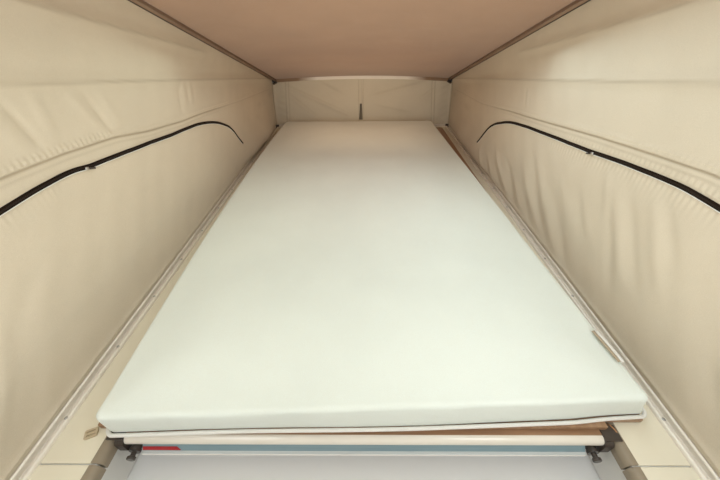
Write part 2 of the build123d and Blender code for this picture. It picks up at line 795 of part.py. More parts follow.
# Brackets for the bed's gas springs: one on the lining, one under the board
def spring_lining_bracket():
    y, z = spring_base
    low = spring_x + strut_eye_wall / 2 + 0.5
    plate = block((low, y - 10, z - 24), (low + 4, y + 16, z + 10))
    foot = block((low, y - 10, z - 30), (lining_half, y + 30, z - 24))
    return plate + foot + along_x(spring_pin, spring_x - strut_eye_wall / 2 - 1.5, low + 4, y, z)


def spring_board_bracket():
    y, z = spring_tip
    low = spring_x + strut_eye_wall / 2 + seat_gap
    plate = [(y - 22, board_bottom), (y + 22, board_bottom), (y + 9, z - 8), (y - 9, z - 8)]
    return profile_x(plate, low, low + 4)


# Latch: foot with two ears, lever with hook, and the roof's keeper, drawn about a pivot at the origin
def latch_foot_piece():
    foot = block((-latch_foot / 2, -16, -latch_lift), (latch_foot / 2, 16, -latch_lift + 4))
    for low in (-15, 10.5):
        foot += block((-10, low, -latch_lift + 3), (10, low + 4.5, 4))
    return foot - Rot(90, 0, 0) * Cylinder(latch_pin + pin_play, 50)


def latch_lever():
    """Lies along +X and lifts to stand upright."""
    half = latch_width / 2
    arm = block((-6, -half, -5), (latch_length, half, 3))
    hook = block((latch_length - 10, -half, 3), (latch_length, half, 3 + latch_hook))
    grip = block((latch_length - 42, -half - 5, -5), (latch_length - 22, half + 5, 3))
    return arm + hook + grip + Rot(90, 0, 0) * Cylinder(latch_pin, 2 * 14.5)


def latch_keeper():
    """Post under the ceiling with the toe that the hook takes."""
    low, high = latch_length - 20, latch_length - 12
    post = block((-30, -12, low), (-22, 12, shell_high))
    return post + block((-30, -12, low), (-6, 12, high))


latch_z = ledge_top + latch_lift
front_latch_y = rail_near + front_latch_back
side_latch_x = rail_in - side_latch_in
side_latch_y = lining_near + side_latch_back
latch_spots = {
    "front_left": Pos(-front_latch_x, front_latch_y, latch_z),
    "front_right": Pos(front_latch_x, front_latch_y, latch_z) * Rot(0, 0, 180),
    "side_left": Pos(-side_latch_x, side_latch_y, latch_z) * Rot(0, 0, -90),
    "side_right": Pos(side_latch_x, side_latch_y, latch_z) * Rot(0, 0, -90),
}


# Small flat net hook on the left ledge beside the mattress, with two slots
def ledge_hooks():
    width, length, height = hook_size
    hook = fillet(Box(width, length, height).edges().filter_by(Axis.Z), 3)
    for y in (-length / 5, length / 5):
        hook -= Pos(0, y, 0) * Box(width - 9, hook_slot, height + 2)
    place = Pos(hook_inset - rail_in, board_near - 9, ledge_top + height / 2)
    return place * Rot(0, 0, hook_turn) * hook


def main():
    inside = shell_inside()

    save("base_flange", base_flange())
    save("base_deck", base_deck())
    save("base_lining", base_lining())
    save("ledge_panel_right", side_panels())
    save("ledge_panel_left", mirrored(side_panels()))
    save("ledge_panel_ends", end_panels())
    save("edge_trim_right", side_trim())
    save("edge_trim_left", mirrored(side_trim()))
    save("edge_trim_ends", end_trim())
    save("lower_rail_right", lower_side_rail())
    save("lower_rail_left", mirrored(lower_side_rail()))
    save("lower_rail_ends", lower_end_rails())
    save("frame_seal", frame_seal())
    save("roof_hinge_bases", roof_hinge_base())
    save("roof_strut_deck_brackets", strut_deck_bracket() + mirrored(strut_deck_bracket()))
    save("bed_hinge_bases", bed_hinge_base())
    save("bed_spring_frame_brackets", spring_lining_bracket() + mirrored(spring_lining_bracket()))
    save("bed_pads", bed_pads())
    save("ledge_hooks", ledge_hooks())

    save("canvas_right", canvas_side())
    save("canvas_left", mirrored(canvas_side()))
    low_end_head = rail_far - low_end_pull
    save("canvas_low_end", canvas_end(far_out - keder_radius, low_end_head + rail_width / 2))
    save("canvas_high_end", canvas_end(near_out + keder_radius, near_out + rail_width / 2))

    save("roof_shell", swing_open(roof_shell(inside)))
    save("headliner", swing_open(headliner()))
    save("upper_rail_right", swing_open(upper_side_rail()))
    save("upper_rail_left", swing_open(mirrored(upper_side_rail())))
    save("upper_rail_low_end", swing_open(upper_end_rail(low_end_head, low_end_head + rail_width)))
    save("upper_rail_high_end", swing_open(upper_end_rail(near_out, rail_near)))
    save("roof_hinge_lugs", swing_open(roof_hinge_lugs(inside)))
    bracket = strut_roof_bracket(inside)
    save("roof_strut_roof_brackets", swing_open(bracket + mirrored(bracket)))

    tip = opened(*strut_tip_shut)
    sizes = (strut_tube_radius, strut_rod_radius, strut_tube_length, strut_pin)
    tube = strut_tube(strut_x, strut_base, tip, *sizes)
    rod = strut_rod(strut_x, strut_base, tip, *sizes, strut_overlap)
    save("roof_strut_tube_right", tube)
    save("roof_strut_tube_left", mirrored(tube))
    save("roof_strut_rod_right", rod)
    save("roof_strut_rod_left", mirrored(rod))

    save("bed_board", bed_board())
    save("mattress", mattress())
    save("bed_bearers", bed_bearers())
    save("bed_cross_bars", bed_cross_bars())
    save("bed_beam", bed_beam())
    save("beam_bracket_right", beam_bracket())
    save("beam_bracket_left", mirrored(beam_bracket()))
    save("beam_knobs", beam_knob() + mirrored(beam_knob()))
    save("bed_hinge_leaves", bed_hinge_leaf())
    save("bed_spring_board_brackets", spring_board_bracket() + mirrored(spring_board_bracket()))

    sizes = (spring_tube_radius, spring_rod_radius, spring_tube_length, spring_pin)
    tube = strut_tube(spring_x, spring_base, spring_tip, *sizes)
    rod = strut_rod(spring_x, spring_base, spring_tip, *sizes, spring_overlap)
    save("bed_spring_tube_right", tube)
    save("bed_spring_tube_left", mirrored(tube))
    save("bed_spring_rod_right", rod)
    save("bed_spring_rod_left", mirrored(rod))

    feet = [spot * latch_foot_piece() for spot in latch_spots.values()]
    save("latch_feet", feet[0] + feet[1:])
    ceiling = under_crown(-seat_gap, 2 * shell_half, 2 * shell_near, 2 * shell_far, 0)
    keepers = [spot * latch_keeper() & ceiling for spot in latch_spots.values()]
    save("latch_keepers", swing_open(keepers[0] + keepers[1:]))
    for name, spot in latch_spots.items():
        save(f"latch_{name}", spot * latch_lever())


main()
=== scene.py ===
# %% [markdown]
# # The raised roof of a camper van, with its bed
# The real object is a moulded frame, a hinged roof shell, four walls of coated canvas between them, and a
# bed that bridges the opening. The rigid parts come ready from the CAD model, so this script gives them
# finishes, and makes what CAD left plain: cloth, zips, seams, padding, screws and trim.

# %% Load the CAD model
import bmesh, bpy, json, math
import numpy as np
from mathutils import Matrix, Vector


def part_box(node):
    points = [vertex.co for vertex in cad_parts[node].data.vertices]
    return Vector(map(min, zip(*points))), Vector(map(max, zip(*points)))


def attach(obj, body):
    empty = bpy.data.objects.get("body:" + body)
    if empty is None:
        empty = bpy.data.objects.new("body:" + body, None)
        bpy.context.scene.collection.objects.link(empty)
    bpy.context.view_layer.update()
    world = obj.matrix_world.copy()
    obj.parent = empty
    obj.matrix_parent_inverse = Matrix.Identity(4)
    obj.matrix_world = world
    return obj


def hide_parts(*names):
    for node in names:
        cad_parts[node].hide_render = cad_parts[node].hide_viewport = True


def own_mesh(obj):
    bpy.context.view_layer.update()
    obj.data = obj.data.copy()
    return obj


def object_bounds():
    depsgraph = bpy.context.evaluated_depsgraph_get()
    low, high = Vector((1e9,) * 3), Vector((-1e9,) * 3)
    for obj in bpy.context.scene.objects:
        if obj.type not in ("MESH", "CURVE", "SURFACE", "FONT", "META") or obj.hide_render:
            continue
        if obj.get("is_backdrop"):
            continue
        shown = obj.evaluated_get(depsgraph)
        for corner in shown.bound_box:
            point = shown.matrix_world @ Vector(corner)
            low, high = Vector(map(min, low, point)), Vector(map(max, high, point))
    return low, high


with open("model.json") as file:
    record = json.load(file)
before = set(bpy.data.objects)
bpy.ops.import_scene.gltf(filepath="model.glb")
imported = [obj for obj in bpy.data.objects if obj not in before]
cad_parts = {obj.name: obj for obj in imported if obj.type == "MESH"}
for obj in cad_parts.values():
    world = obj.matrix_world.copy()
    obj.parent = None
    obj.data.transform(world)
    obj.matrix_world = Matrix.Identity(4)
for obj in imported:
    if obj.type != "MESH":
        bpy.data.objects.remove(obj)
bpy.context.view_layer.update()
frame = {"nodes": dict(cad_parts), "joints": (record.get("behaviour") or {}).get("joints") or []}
bpy.context.scene.view_settings.view_transform = "Standard"
nodes = frame["nodes"]

# %% [markdown]
# ## Helpers for finishes
# Every surface here is a node material: one shader whose constants sit on its own sockets, fed by patterns
# in object coordinates. Patterns in object space need no unwrapping and stay put when a body moves.

# %% Finish helpers
def finish(name, colour, roughness, **sockets):
    made = bpy.data.materials.new(name)
    made.use_nodes = True
    shader = made.node_tree.nodes["Principled BSDF"]
    shader.inputs["Base Color"].default_value = (*colour, 1)
    shader.inputs["Roughness"].default_value = roughness
    for socket, value in sockets.items():
        shader.inputs[socket.replace("_", " ")].default_value = value
    return made

def add(made, kind, values=(), **settings):
    new = made.node_tree.nodes.new("ShaderNode" + kind)
    for key, value in settings.items():
        setattr(new, key, value)
    for socket, value in dict(values).items():
        if isinstance(value, bpy.types.NodeSocket):
            made.node_tree.links.new(value, new.inputs[socket])
        else:
            new.inputs[socket].default_value = value
    return new

def feed(made, socket, source):
    shader = made.node_tree.nodes["Principled BSDF"]
    made.node_tree.links.new(source, shader.inputs[socket])

def spot(made, stretch=(1, 1, 1)):
    place = add(made, "TexCoord").outputs["Object"]
    return add(made, "Mapping", {"Vector": place, "Scale": stretch}).outputs["Vector"]

def noise(made, scale, stretch=(1, 1, 1), detail=4.0):
    values = {"Vector": spot(made, stretch), "Scale": scale, "Detail": detail, "Roughness": 0.55}
    return add(made, "TexNoise", values).outputs[0]

def mixed(made, factor, a, b):
    paint = [(*c, 1) if isinstance(c, tuple) else c for c in (a, b)]
    return add(made, "Mix", {0: factor, 6: paint[0], 7: paint[1]}, data_type="RGBA").outputs[2]

def spread(made, source, low, high, to_low=0.0, to_high=1.0):
    values = {"Value": source, "From Min": low, "From Max": high, "To Min": to_low, "To Max": to_high}
    return add(made, "MapRange", values).outputs[0]

def shaded(made, scale, dark, light, stretch=(1, 1, 1)):
    """A slow change between two shades of a colour."""
    return mixed(made, spread(made, noise(made, scale, stretch), 0.3, 0.7), dark, light)

def from_middle(made):
    """Distance from the object's middle plane."""
    across = add(made, "SeparateXYZ", {0: spot(made)}).outputs[0]
    return add(made, "Math", {0: across}, operation="ABSOLUTE").outputs[0]

def bump(made, *layers):
    """Stacks height patterns, each with its depth in metres."""
    normal = None
    for height, depth in layers:
        values = {"Height": height, "Distance": depth, "Strength": 1.0}
        if normal:
            values["Normal"] = normal
        normal = add(made, "Bump", values).outputs["Normal"]
    feed(made, "Normal", normal)

def weave(made, pitch, directions):
    """Threads that cross: the higher of two sets of waves."""
    sets = [add(made, "TexWave", {"Vector": spot(made), "Scale": 0.314 / pitch}, bands_direction=d).outputs[1]
            for d in directions]
    return add(made, "Math", {0: sets[0], 1: sets[1]}, operation="MAXIMUM").outputs[0]

# %% [markdown]
# ## Cloth finishes
# The wall canvas is a coated cotton: matt, beige, woven at about a millimetre and a little uneven in colour.
# Shade is painted into it along creases, folds and seams. Where these lie is known only when the wall is made,
# so the mesh carries the painted shade as a number on each point, named tone, and the finish reads that.

# %% Cloth finishes
def cloth(name, colour, darker, pitch, directions, sheen):
    made = finish(name, colour, 0.85, Sheen_Weight=sheen, Sheen_Roughness=0.5, Specular_IOR_Level=0.25)
    patchy = spread(made, noise(made, 3.0), 0.35, 0.65)
    even = tuple(0.94 * c for c in colour)
    # tone mixes in the darker colour; on the walls this is painted shade along creases, folds and seams
    tone = add(made, "Attribute", attribute_name="tone").outputs["Fac"]
    fine = spread(made, noise(made, 900.0, detail=1.0), 0.3, 0.7, 0.0, 0.18)
    body = mixed(made, fine, mixed(made, patchy, even, colour), darker)
    feed(made, "Base Color", mixed(made, tone, body, darker))
    bump(made, (weave(made, pitch, directions), 0.00012), (noise(made, 40.0), 0.0006))
    return made

wall_cloth = cloth("wall_canvas", (0.68, 0.60, 0.475), (0.30, 0.235, 0.155), 0.0011, "YZ", 0.15)
end_cloth = cloth("end_canvas", (0.71, 0.65, 0.54), (0.30, 0.235, 0.155), 0.0011, "XZ", 0.15)
seam_cloth = cloth("seam_canvas", (0.46, 0.37, 0.26), (0.25, 0.19, 0.13), 0.0008, "YZ", 0.15)
ticking = cloth("mattress_ticking", (0.765, 0.825, 0.775), (0.60, 0.52, 0.43), 0.0014, "XY", 0.25)
piping_cloth = cloth("piping_cloth", (0.84, 0.83, 0.79), (0.5, 0.45, 0.38), 0.0008, "XY", 0.2)
print("cloths", [m.name for m in bpy.data.materials][-5:])

# %% [markdown]
# ## Finishes of the moulded, drawn and pressed parts
# The roof and frame are white gelcoat over laminate, which is glossy with a faint ripple. The rails are
# satin anodised aluminium with fine lines along the way they were drawn. Plastics have a small even
# grain. Each is one base colour, a slow change of shade, and a bump at the scale of the real texture.

# %% Hard finishes
def plain_hard(name, colour, roughness, grain, depth, darker=0.85, stretch=(1, 1, 1), **sockets):
    made = finish(name, colour, roughness, **sockets)
    feed(made, "Base Color", shaded(made, 5.0, tuple(darker * c for c in colour), colour))
    patches = noise(made, 14.0, stretch)
    feed(made, "Roughness", spread(made, patches, 0.2, 0.8, roughness * 0.8, roughness * 1.25))
    bump(made, (noise(made, grain, stretch), depth))
    return made

gelcoat = plain_hard("gelcoat_white", (0.80, 0.80, 0.78), 0.24, 45.0, 0.0004, 0.97,
                     Coat_Weight=0.4, Coat_Roughness=0.08)
frame_gelcoat = plain_hard("frame_gelcoat", (0.74, 0.73, 0.70), 0.4, 60.0, 0.0004, 0.93)
liner_felt = plain_hard("ceiling_felt", (0.395, 0.230, 0.133), 0.95, 700.0, 0.0006, 0.9,
                        Sheen_Weight=0.35, Specular_IOR_Level=0.15)
ledge_sheet = plain_hard("ledge_sheet", (0.80, 0.745, 0.60), 0.5, 380.0, 0.0002, 0.96)
trim_plastic = plain_hard("trim_plastic", (0.30, 0.245, 0.175), 0.42, 500.0, 0.0002)
drawn = {"Metallic": 0.85, "Anisotropic": 0.4}
lengthwise, crosswise = (1, 0.01, 1), (0.01, 1, 1)
rail_satin = plain_hard("rail_satin", (0.86, 0.81, 0.73), 0.34, 900.0, 0.00006, 0.95, lengthwise, Metallic=0.25)
alloy_y = plain_hard("alloy_drawn_long", (0.72, 0.69, 0.645), 0.38, 900.0, 0.00008, 0.9, lengthwise, **drawn)
alloy_x = plain_hard("alloy_drawn_across", (0.72, 0.69, 0.645), 0.36, 900.0, 0.00008, 0.9, crosswise, **drawn)
steel = plain_hard("zinc_plated_steel", (0.56, 0.55, 0.53), 0.35, 220.0, 0.0001, 0.8, Metallic=1.0)
dark_plastic = plain_hard("dark_brown_plastic", (0.055, 0.042, 0.034), 0.45, 600.0, 0.0003)
knob_plastic = plain_hard("knob_plastic", (0.045, 0.034, 0.028), 0.3, 500.0, 0.0001, Coat_Weight=0.3)
clip_plastic = plain_hard("clip_plastic", (0.55, 0.45, 0.30), 0.5, 500.0, 0.0002)
rubber = plain_hard("black_rubber", (0.022, 0.022, 0.022), 0.75, 350.0, 0.0004)
strut_paint = plain_hard("strut_paint", (0.018, 0.018, 0.019), 0.28, 60.0, 0.0002, Coat_Weight=0.3)
rod_chrome = plain_hard("rod_chrome", (0.80, 0.80, 0.80), 0.09, 300.0, 0.00002, 0.97, Metallic=1.0)
bronze = plain_hard("bronze_wire", (0.46, 0.24, 0.12), 0.3, 300.0, 0.0001, Metallic=1.0)
red_gloss = plain_hard("red_gloss", (0.42, 0.022, 0.03), 0.25, 400.0, 0.0001, Coat_Weight=0.5)
zip_weave = plain_hard("zip_tape", (0.016, 0.008, 0.004), 0.9, 900.0, 0.0004, Specular_IOR_Level=0.15)
zip_teeth = plain_hard("zip_teeth", (0.020, 0.011, 0.006), 0.5, 300.0, 0.0001, Specular_IOR_Level=0.25)
thread = plain_hard("sewing_thread", (0.74, 0.66, 0.50), 0.7, 900.0, 0.0002)
strap_grey = plain_hard("strap_webbing", (0.21, 0.185, 0.145), 0.8, 700.0, 0.0005)
print(len(bpy.data.materials), "finishes")

# %% [markdown]
# ## The roof's side strips
# A brown strip clamps the canvas under the roof on each side, with painted shade along its two edges, faint
# on the inner one and dark on the outer one. The shade is painted by distance from the middle of the roof,
# because the strip is straight. The rail across the low end has a painted highlight in its middle and painted
# shade, dull and brown, near its corners.

# %% Roof strip finish
upper_strip = finish("upper_strip", (0.31, 0.20, 0.135), 0.5)
strip_low, strip_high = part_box("upper_rail_right")
across = from_middle(upper_strip)
# painted shade in the gaps along the strip's two edges, faint on the inner one and dark on the outer one
inner_edge_shade = spread(upper_strip, across, strip_low.x + 0.0080, strip_low.x + 0.0010, 0.0, 0.4)
outer_edge_shade = spread(upper_strip, across, strip_high.x - 0.0195, strip_high.x - 0.0185)
edge_shade = add(upper_strip, "Math", {0: inner_edge_shade, 1: outer_edge_shade}, operation="MAXIMUM").outputs[0]
strip_brown = shaded(upper_strip, 7.0, (0.27, 0.17, 0.115), (0.34, 0.225, 0.155))
feed(upper_strip, "Base Color", mixed(upper_strip, edge_shade, strip_brown, (0.05, 0.032, 0.024)))
bump(upper_strip, (noise(upper_strip, 300.0, (1, 0.05, 1)), 0.0002))

end_rail = finish("end_rail", (0.7, 0.66, 0.6), 0.38)
# painted highlight in the rail's middle and painted shade, dull and brown, towards its corners
shaded_ends = spread(end_rail, from_middle(end_rail), 0.34, 0.48)
feed(end_rail, "Base Color", mixed(end_rail, shaded_ends, (0.95, 0.90, 0.83), (0.36, 0.25, 0.17)))
feed(end_rail, "Metallic", spread(end_rail, shaded_ends, 0, 1, 0.15, 0.6))
bump(end_rail, (noise(end_rail, 900.0, crosswise), 0.00008))
print("roof strip from", round(strip_low.x, 3), "to", round(strip_high.x, 3))

# %% [markdown]
# ## Plywood
# The bed board is varnished plywood: long grain on its faces and thin layers on its edges. Noise that is
# stretched along the bed makes the grain, and waves up the thickness make the layers.

# %% Plywood
plywood = finish("bed_plywood", (0.36, 0.21, 0.115), 0.42, Coat_Weight=0.25, Coat_Roughness=0.2)
grain = noise(plywood, 60.0, (1, 0.05, 1), 6.0)
layers = add(plywood, "TexWave", {"Vector": spot(plywood), "Scale": 0.314 / 0.003, "Distortion": 0.6},
             bands_direction="Z").outputs[1]
face_wood = mixed(plywood, spread(plywood, grain, 0.3, 0.7), (0.25, 0.135, 0.07), (0.42, 0.26, 0.15))
half_layers = spread(plywood, layers, 0, 1, 0, 0.5)
feed(plywood, "Base Color", mixed(plywood, half_layers, face_wood, (0.20, 0.105, 0.055)))
bump(plywood, (grain, 0.0003))

# %% [markdown]
# ## The beam's finish
# The beam is one drawn section painted in four parts: a cream enamelled nose, a brown flat behind it, a
# blue-grey groove that is painted shade with a painted reflection of blue light, and a lip with a painted
# highlight. Each face of a section has its own height and depth, so the place alone can paint them, with borders
# half a millimetre wide.

# %% Beam finish
beam_low, beam_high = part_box("bed_beam")
nose_foot = beam_high.z - 0.026
nose_back = beam_low.y + 0.024
lip_head = beam_low.z + 0.008
beam_enamel = finish("beam_enamel", (0.74, 0.69, 0.58), 0.32, Coat_Weight=0.3, Coat_Roughness=0.1)
place = add(beam_enamel, "SeparateXYZ", {0: spot(beam_enamel)})
border = 0.0003
on_nose = spread(beam_enamel, place.outputs[2], nose_foot - border, nose_foot + border)
behind = spread(beam_enamel, place.outputs[1], nose_back - border, nose_back + border)
on_lip = spread(beam_enamel, place.outputs[2], lip_head + border, lip_head - border)
cream = shaded(beam_enamel, 6.0, (0.74, 0.69, 0.60), (0.80, 0.75, 0.67))
brown = mixed(beam_enamel, noise(beam_enamel, 90.0, (0.1, 1, 1)), (0.20, 0.10, 0.05), (0.42, 0.25, 0.14))
# the groove: painted shade with a painted reflection of blue light in it
groove_reflection = mixed(beam_enamel, noise(beam_enamel, 500.0, (0.02, 1, 1)), (0.16, 0.25, 0.29), (0.26, 0.36, 0.40))
# the lip: a painted highlight on the same bare metal as the groove
lip_highlight = mixed(beam_enamel, noise(beam_enamel, 500.0, (0.02, 1, 1)), (0.84, 0.81, 0.77), (0.92, 0.90, 0.87))
low_part = mixed(beam_enamel, on_lip, groove_reflection, lip_highlight)
high_part = mixed(beam_enamel, behind, cream, brown)
feed(beam_enamel, "Base Color", mixed(beam_enamel, on_nose, low_part, high_part))
bump(beam_enamel, (noise(beam_enamel, 300.0, (0.05, 1, 1)), 0.00008))
print("beam nose above", round(nose_foot, 4), "and before", round(nose_back, 4))

# %% [markdown]
# ## Dressing the CAD nodes
# CAD edges are perfectly sharp, and real ones catch light on a small radius. A bevel modifier rounds them
# without touching the mesh. The importer leaves each face with its own points, so a weld comes first, and
# weighted normals keep the large flats flat.

# %% Finishes and soft edges for the CAD nodes
dressed = {
    gelcoat: ["roof_shell"],
    frame_gelcoat: ["base_flange", "base_deck", "base_lining"],
    liner_felt: ["headliner"],
    ledge_sheet: ["ledge_panel_right", "ledge_panel_left", "ledge_panel_ends"],
    trim_plastic: ["edge_trim_right", "edge_trim_left", "edge_trim_ends"],
    rail_satin: ["lower_rail_right", "lower_rail_left", "lower_rail_ends"],
    alloy_y: ["bed_bearers"],
    alloy_x: ["upper_rail_high_end", "bed_cross_bars"],
    end_rail: ["upper_rail_low_end"],
    upper_strip: ["upper_rail_right", "upper_rail_left"],
    steel: ["roof_hinge_bases", "roof_hinge_lugs", "roof_strut_deck_brackets", "roof_strut_roof_brackets",
            "bed_hinge_bases", "bed_hinge_leaves", "bed_spring_frame_brackets", "bed_spring_board_brackets",
            "latch_feet", "latch_keepers"],
    dark_plastic: ["beam_bracket_right", "beam_bracket_left", "latch_front_left", "latch_front_right",
                   "latch_side_left", "latch_side_right"],
    knob_plastic: ["beam_knobs"],
    clip_plastic: ["ledge_hooks"],
    rubber: ["frame_seal", "bed_pads"],
    strut_paint: [f"{kind}_tube_{hand}" for kind in ("roof_strut", "bed_spring") for hand in ("right", "left")],
    rod_chrome: [f"{kind}_rod_{hand}" for kind in ("roof_strut", "bed_spring") for hand in ("right", "left")],
    plywood: ["bed_board"],
    beam_enamel: ["bed_beam"],
}
edge_radius = {"roof_shell": 0.004, "base_flange": 0.0025, "base_deck": 0.002, "headliner": 0.002,
               "ledge_panel_ends": 0.0012, "bed_board": 0.0012}

def soften(part, radius):
    part.modifiers.new("weld", "WELD").merge_threshold = 0.00002
    bevel = part.modifiers.new("soft_edges", "BEVEL")
    bevel.width, bevel.segments, bevel.limit_method, bevel.angle_limit = radius, 2, "ANGLE", math.radians(32)
    part.modifiers.new("even_shading", "WEIGHTED_NORMAL").keep_sharp = False

for made, names in dressed.items():
    for name in names:
        part = nodes[name]
        part.data.materials.clear()
        part.data.materials.append(made)
        soften(part, edge_radius.get(name, 0.0007))
print(sum(len(n) for n in dressed.values()), "nodes dressed")

# %% [markdown]
# ## Helpers for making pieces
# Three makers cover the rest. One turns points and faces into a piece that rides on a body. One sweeps a
# section along a path, for zips, piping and seams. One stamps a small pattern at many places, for
# stitches, teeth and screws, so that a thousand stitches are one mesh.

# %% Piece makers
def set_tone(mesh, tone):
    """How far each point takes the cloth's darker colour; on the walls this is painted shade."""
    values = np.ravel(tone).astype(np.float32)
    mesh.attributes.new("tone", "FLOAT", "POINT").data.foreach_set("value", values)

def piece(name, points, faces, made, body, slot, tone=None):
    mesh = bpy.data.meshes.new(name)
    mesh.from_pydata([tuple(p) for p in points], [], [tuple(f) for f in faces])
    mesh.materials.append(made)
    mesh.shade_smooth()
    if tone is not None:
        set_tone(mesh, tone)
    made_piece = bpy.data.objects.new(name, mesh)
    bpy.context.collection.objects.link(made_piece)
    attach(made_piece, body)
    return made_piece

def grid_faces(rows, columns):
    r, c = np.meshgrid(np.arange(rows - 1), np.arange(columns - 1), indexing="ij")
    first = (r * columns + c).ravel()
    return np.stack([first, first + 1, first + columns + 1, first + columns], 1)

def unit(v):
    return v / np.maximum(np.linalg.norm(v, axis=-1, keepdims=True), 1e-9)

def path_frames(path, normals, closed):
    along = np.roll(path, -1, 0) - np.roll(path, 1, 0)
    if not closed:
        along[0], along[-1] = path[1] - path[0], path[-1] - path[-2]
    along = unit(along)
    normals = np.broadcast_to(np.array(normals, float), path.shape)
    out = unit(normals - along * (normals * along).sum(1, keepdims=True))
    return along, out, np.cross(along, out)

def sweep(name, path, normals, section, made, body, slot, closed=False):
    """section is a closed outline of (sideways, outwards) offsets, in metres."""
    path, section = np.array(path, float), np.array(section, float)
    _, out, side = path_frames(path, normals, closed)
    points = path[:, None] + side[:, None] * section[None, :, :1] + out[:, None] * section[None, :, 1:]
    count, ring = len(path), len(section)
    faces = []
    for i in range(count if closed else count - 1):
        here, there = i * ring, (i + 1) % count * ring
        faces += [(here + j, here + (j + 1) % ring, there + (j + 1) % ring, there + j) for j in range(ring)]
    if not closed:
        faces += [tuple(reversed(range(ring))), tuple((count - 1) * ring + j for j in range(ring))]
    return piece(name, points.reshape(-1, 3), faces, made, body, slot)

def round_section(radius, sides=8):
    turns = [2 * math.pi * k / sides for k in range(sides)]
    return [(radius * math.cos(t), radius * math.sin(t)) for t in turns]

def stamp(name, pattern, places, made, body, slot):
    """Repeats a bmesh pattern at each 4x4 place."""
    base = [v.co.copy() for v in pattern.verts]
    loops = [[v.index for v in f.verts] for f in pattern.faces]
    points, faces = [], []
    for place in places:
        start = len(points)
        points += [place @ v for v in base]
        faces += [[i + start for i in loop] for loop in loops]
    return piece(name, points, faces, made, body, slot)

def bead(length, width, thick, round_by=0.3):
    """A small block with rounded edges."""
    pattern = bmesh.new()
    bmesh.ops.create_cube(pattern, size=1, matrix=Matrix.Diagonal((length, width, thick, 1)))
    radius = round_by * min(length, width, thick)
    bmesh.ops.bevel(pattern, geom=pattern.edges[:], offset=radius, segments=1, affect="EDGES")
    pattern.verts.index_update()
    return pattern

def stitch_pattern(length):
    """One stitch of thread, wider below than above."""
    pattern = bmesh.new()
    bmesh.ops.create_cube(pattern, size=1, matrix=Matrix.Diagonal((length, 0.0008, 0.0007, 1)))
    for v in pattern.verts:
        if v.co.z > 0:
            v.co.x, v.co.y = 0.7 * v.co.x, 0.5 * v.co.y
    pattern.verts.index_update()
    return pattern

def even_steps(path, pitch):
    """Points along a path, one every pitch."""
    path = np.array(path, float)
    run = np.concatenate([[0], np.cumsum(np.linalg.norm(np.diff(path, axis=0), axis=1))])
    at = np.arange(pitch / 2, run[-1], pitch)
    return np.stack([np.interp(at, run, path[:, k]) for k in range(3)], 1)

def places_on(path, normals, sideways=0.0, out_by=0.0):
    along, out, side = path_frames(path, normals, False)
    places = []
    for p, a, o, s in zip(path, along, out, side):
        turn = Matrix((a, s, o)).transposed().to_4x4()
        places.append(Matrix.Translation(p + s * sideways + o * out_by) @ turn)
    return places

# %% [markdown]
# ## Where the side walls hang
# Each side wall is a wedge of canvas between the lower rail and the roof's rail. Its four corners come
# from the CAD wall's own box and from the roof's opening angle, so the cloth hangs where its solid is.

# %% Side wall corners
roof_joint = [j for j in frame["joints"] if j["name"] == "roof_hinge"][0]
hinge_y, hinge_z = roof_joint["pos_m"][1:]
open_turn = math.radians(roof_joint["range_deg"][1])

def opened(y, z):
    """Where a point of the shut roof stands when it is open."""
    back, up = y - hinge_y, z - hinge_z
    return (hinge_y + back * math.cos(open_turn) + up * math.sin(open_turn),
            hinge_z - back * math.sin(open_turn) + up * math.cos(open_turn))

wall_low, wall_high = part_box("canvas_right")
foot_z, foot_near, foot_far = wall_low.z, wall_low.y, 1.154
foot_x, head_x = wall_high.x - 0.001, wall_low.x + 0.001
head_near, head_far = opened(-1.694, 0.2981), opened(1.093, 0.2981)
rise_near, rise_far = head_near[1] - foot_z, head_far[1] - foot_z
print("wall foot", round(foot_near, 3), round(foot_far, 3))
print("wall head", [round(v, 3) for v in (*head_near, *head_far)])

def wall_yz(u, v):
    """Point of the flat wall: u runs from the near edge to the far one, v from the foot to the head."""
    y0, y1 = foot_near + (foot_far - foot_near) * u, head_near[0] + (head_far[0] - head_near[0]) * u
    z1 = head_near[1] + (head_far[1] - head_near[1]) * u
    return y0 + (y1 - y0) * v, foot_z + (z1 - foot_z) * v

def wall_share(y, z):
    """How far up the wall a point lies, from 0 at the foot to 1 at the head."""
    u = (y - foot_near) / (foot_far - foot_near)
    for _ in range(6):
        v = (z - foot_z) / (rise_near + (rise_far - rise_near) * u)
        y0, y1 = wall_yz(u, 0 * v)[0], wall_yz(u, 0 * v + 1)[0]
        u = u + (y - y0 - (y1 - y0) * v) / (foot_far - foot_near)
    return v

# %% [markdown]
# ## The zips' lines and the hems
# A window is cut into each side wall and closed by a zip that rises, runs along and falls again, and a
# hem runs above it. The two walls were sewn a little differently, so each has its own short tables, which
# were measured on the photographed walls and are smoothed; behind the camera they mirror the far end.

